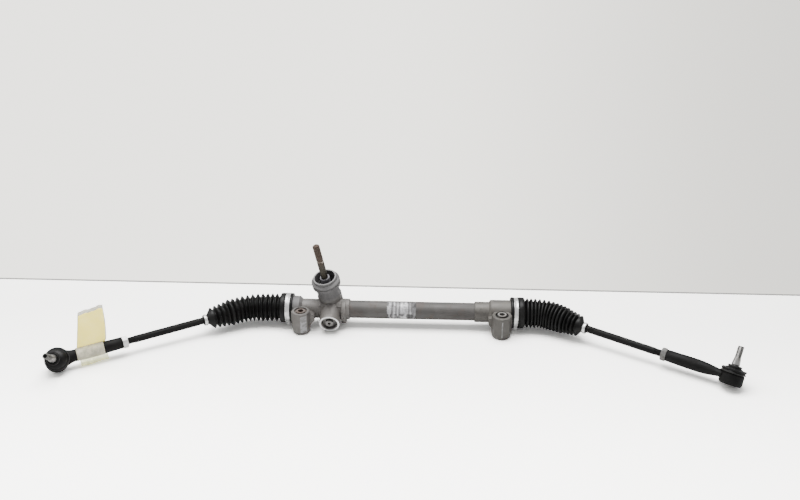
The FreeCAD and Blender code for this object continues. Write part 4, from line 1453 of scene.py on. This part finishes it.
def world_light():
    """Soft room light, with a pale wall, brighter on the left, for the camera."""
    world = bpy.data.worlds.new("Room")
    bpy.context.scene.world = world
    world.use_nodes = True
    tree = world.node_tree
    tree.nodes.clear()
    place = tree.nodes.new("ShaderNodeTexCoord").outputs["Generated"]
    sideways = put(tree, "ShaderNodeSeparateXYZ", {0: place}).outputs["X"]
    glow = spread(tree, sideways, -0.1, 0.42, 2.85, 1.62)
    wall = put(tree, "ShaderNodeBackground", {"Color": paint(1.0, 0.978, 0.91), "Strength": glow})
    room = put(tree, "ShaderNodeBackground", {"Color": paint(0.98, 0.99, 1.0), "Strength": 0.61})
    seen = tree.nodes.new("ShaderNodeLightPath").outputs["Is Camera Ray"]
    both = put(tree, "ShaderNodeMixShader", {0: seen, 1: room.outputs[0], 2: wall.outputs[0]})
    put(tree, "ShaderNodeOutputWorld", {"Surface": both.outputs[0]})


def lamp(name, place, target, size, power):
    """White rectangle of light that faces a target."""
    light = bpy.data.lights.new(name, "AREA")
    light.shape = "RECTANGLE"
    light.size, light.size_y = size
    light.energy = power
    holder = bpy.data.objects.new(name, light)
    holder.location = place
    holder.rotation_euler = (Vector(target) - Vector(place)).to_track_quat("-Z", "Y").to_euler()
    bpy.context.scene.collection.objects.link(holder)


def lights():
    """Large soft light overhead and a fainter one from the left."""
    lamp("ceiling_light", (0.1, 0.3, 2.2), (0.15, 0.0, 0.0), (2.1, 1.4), 138)
    lamp("window_light", (-1.9, 0.3, 1.9), (0.1, 0.0, 0.0), (1.4, 1.4), 30)


def camera():
    """View from the front and above, with its own right, up and back."""
    data = bpy.data.cameras.new("camera")
    data.sensor_width = 36
    data.lens = 38.97
    data.clip_start = 0.01
    data.clip_end = 50
    holder = bpy.data.objects.new("camera", data)
    right = Vector((0.9991, 0.0430, 0.0009))
    up = Vector((-0.0195, 0.4344, 0.9005))
    back = Vector((0.0384, -0.8997, 0.4347))
    turn = Matrix((right, up, back)).transposed().to_4x4()
    holder.matrix_world = Matrix.Translation((0.2420, -1.3794, 0.8386)) @ turn
    bpy.context.scene.collection.objects.link(holder)
    bpy.context.scene.camera = holder


# The whole scene

camera()
lights()
world_light()
table()

# Finishes
rubber = boot_rubber()
dusty_rubber = plastic("Dusty rubber", (0.075, 0.06, 0.05), (0.05, 0.04, 0.034), 0.7)
sleeve_plastic = plastic("Sleeve grey", (0.135, 0.13, 0.142), (0.095, 0.09, 0.1), 0.5)
bearing_plastic = plastic("Bearing plastic", (0.68, 0.64, 0.54), (0.58, 0.54, 0.45), 0.4)
zinc = steel("Bright zinc", (0.72, 0.72, 0.71), (0.6, 0.595, 0.58), 0.3, 0.75, 0.12, 120.0)
nut_zinc = steel("Nut zinc", (0.2, 0.196, 0.188), (0.12, 0.115, 0.108), 0.42, 0.7, 0.3, 160.0)
ground_steel = steel("Ground steel", (0.56, 0.56, 0.55), (0.46, 0.455, 0.445), 0.26, 1.0, 0.1)
rusty_steel = steel("Bush steel", (0.2, 0.17, 0.155), (0.1, 0.065, 0.05), 0.42, 0.7, 0.35, 150.0)
clean_steel = steel("Clean bush steel", (0.3, 0.29, 0.275), (0.2, 0.185, 0.17), 0.4, 0.7, 0.2)
dark_steel = steel("Dark ring steel", (0.02, 0.019, 0.018), (0.01, 0.0095, 0.009), 0.5, 0.4, 0.2)
yoke_metal = steel("Yoke aluminium", (0.36, 0.36, 0.36), (0.28, 0.28, 0.276), 0.36, 0.8, 0.1)
# The last two numbers are where the painted highlight lies across each lug.
left_lug = lug_casting("Left lug casting", (0.1, 0.093, 0.086), (0.14, 0.132, 0.124), 0.0008, 0.0118)
right_lug = lug_casting("Right lug casting", (0.066, 0.061, 0.054), (0.086, 0.081, 0.073), 0.3694, 0.3712)
margin_film = tape_film("Tag film", (0.55, 0.52, 0.4), (0.72, 0.68, 0.52), 0.62)
# The flap film's colours go above 1: a painted glow that gives back more light than falls on it.
flap_film = tape_film("Tag flap film", (1.2, 1.2, 0.62), (1.5, 1.5, 0.85), 0.55)

# The solids
dress(["pinion_housing"], left_casting())
dress(["right_housing"], right_casting())
dress(["rack_tube"], tube_steel())
dress(["pinion_shaft"], pinion_steel())
dress(["shaft_sleeve"], sleeve_plastic)
dress(["rack_bar", "upper_bearing_outer", "upper_bearing_inner", "lower_bearing"], ground_steel)
dress(["left_stop_washer", "right_stop_washer", "left_inner_socket", "right_inner_socket"], ground_steel)
dress(["left_bush_sleeve"], rusty_steel)
dress(["right_bush_sleeve"], clean_steel)
dress(["left_bush_rubber"], dusty_rubber)
dress(["right_bush_rubber", "pinion_seal"], rubber)
dress(["left_jam_nut", "seal_circlip", "yoke_spring"], zinc)
dress(["right_jam_nut", "yoke_plug", "bearing_nut", "pinion_foot_cap"], nut_zinc)
dress(["left_dust_ring", "right_dust_ring", "left_dust_clip", "right_dust_clip"], dark_steel)
dress(["yoke"], yoke_metal)
dress(["rack_bush", "yoke_liner", "left_inner_seat", "right_inner_seat"], bearing_plastic)
dress(["left_end_seat", "right_end_seat"], bearing_plastic)

# What goes over them
for side in SIDES:
    black = black_paint(side)
    dress([side + "_tie_rod", side + "_rod_end", side + "_end_cap"], black)
    dress([side + "_ball_stud"], stud_steel(side))
    bellows(side, rubber)
    big_clamp(side, zinc)
    small_clamp(side, zinc)
    dust_cover(side, rubber)
    rod_end_forging(side, black)
lug_skin("left_lug_skin", -0.0005, 0.0163, -83.7, left_lug)
lug_skin("right_lug_skin", lug_spacing, 0.0178, -91.2, right_lug)
sticker(sticker_foil())
flag_paper(tape_paper())
flag_fringe(margin_film)
tag_wrap(margin_film)
tag_flap(flap_film)
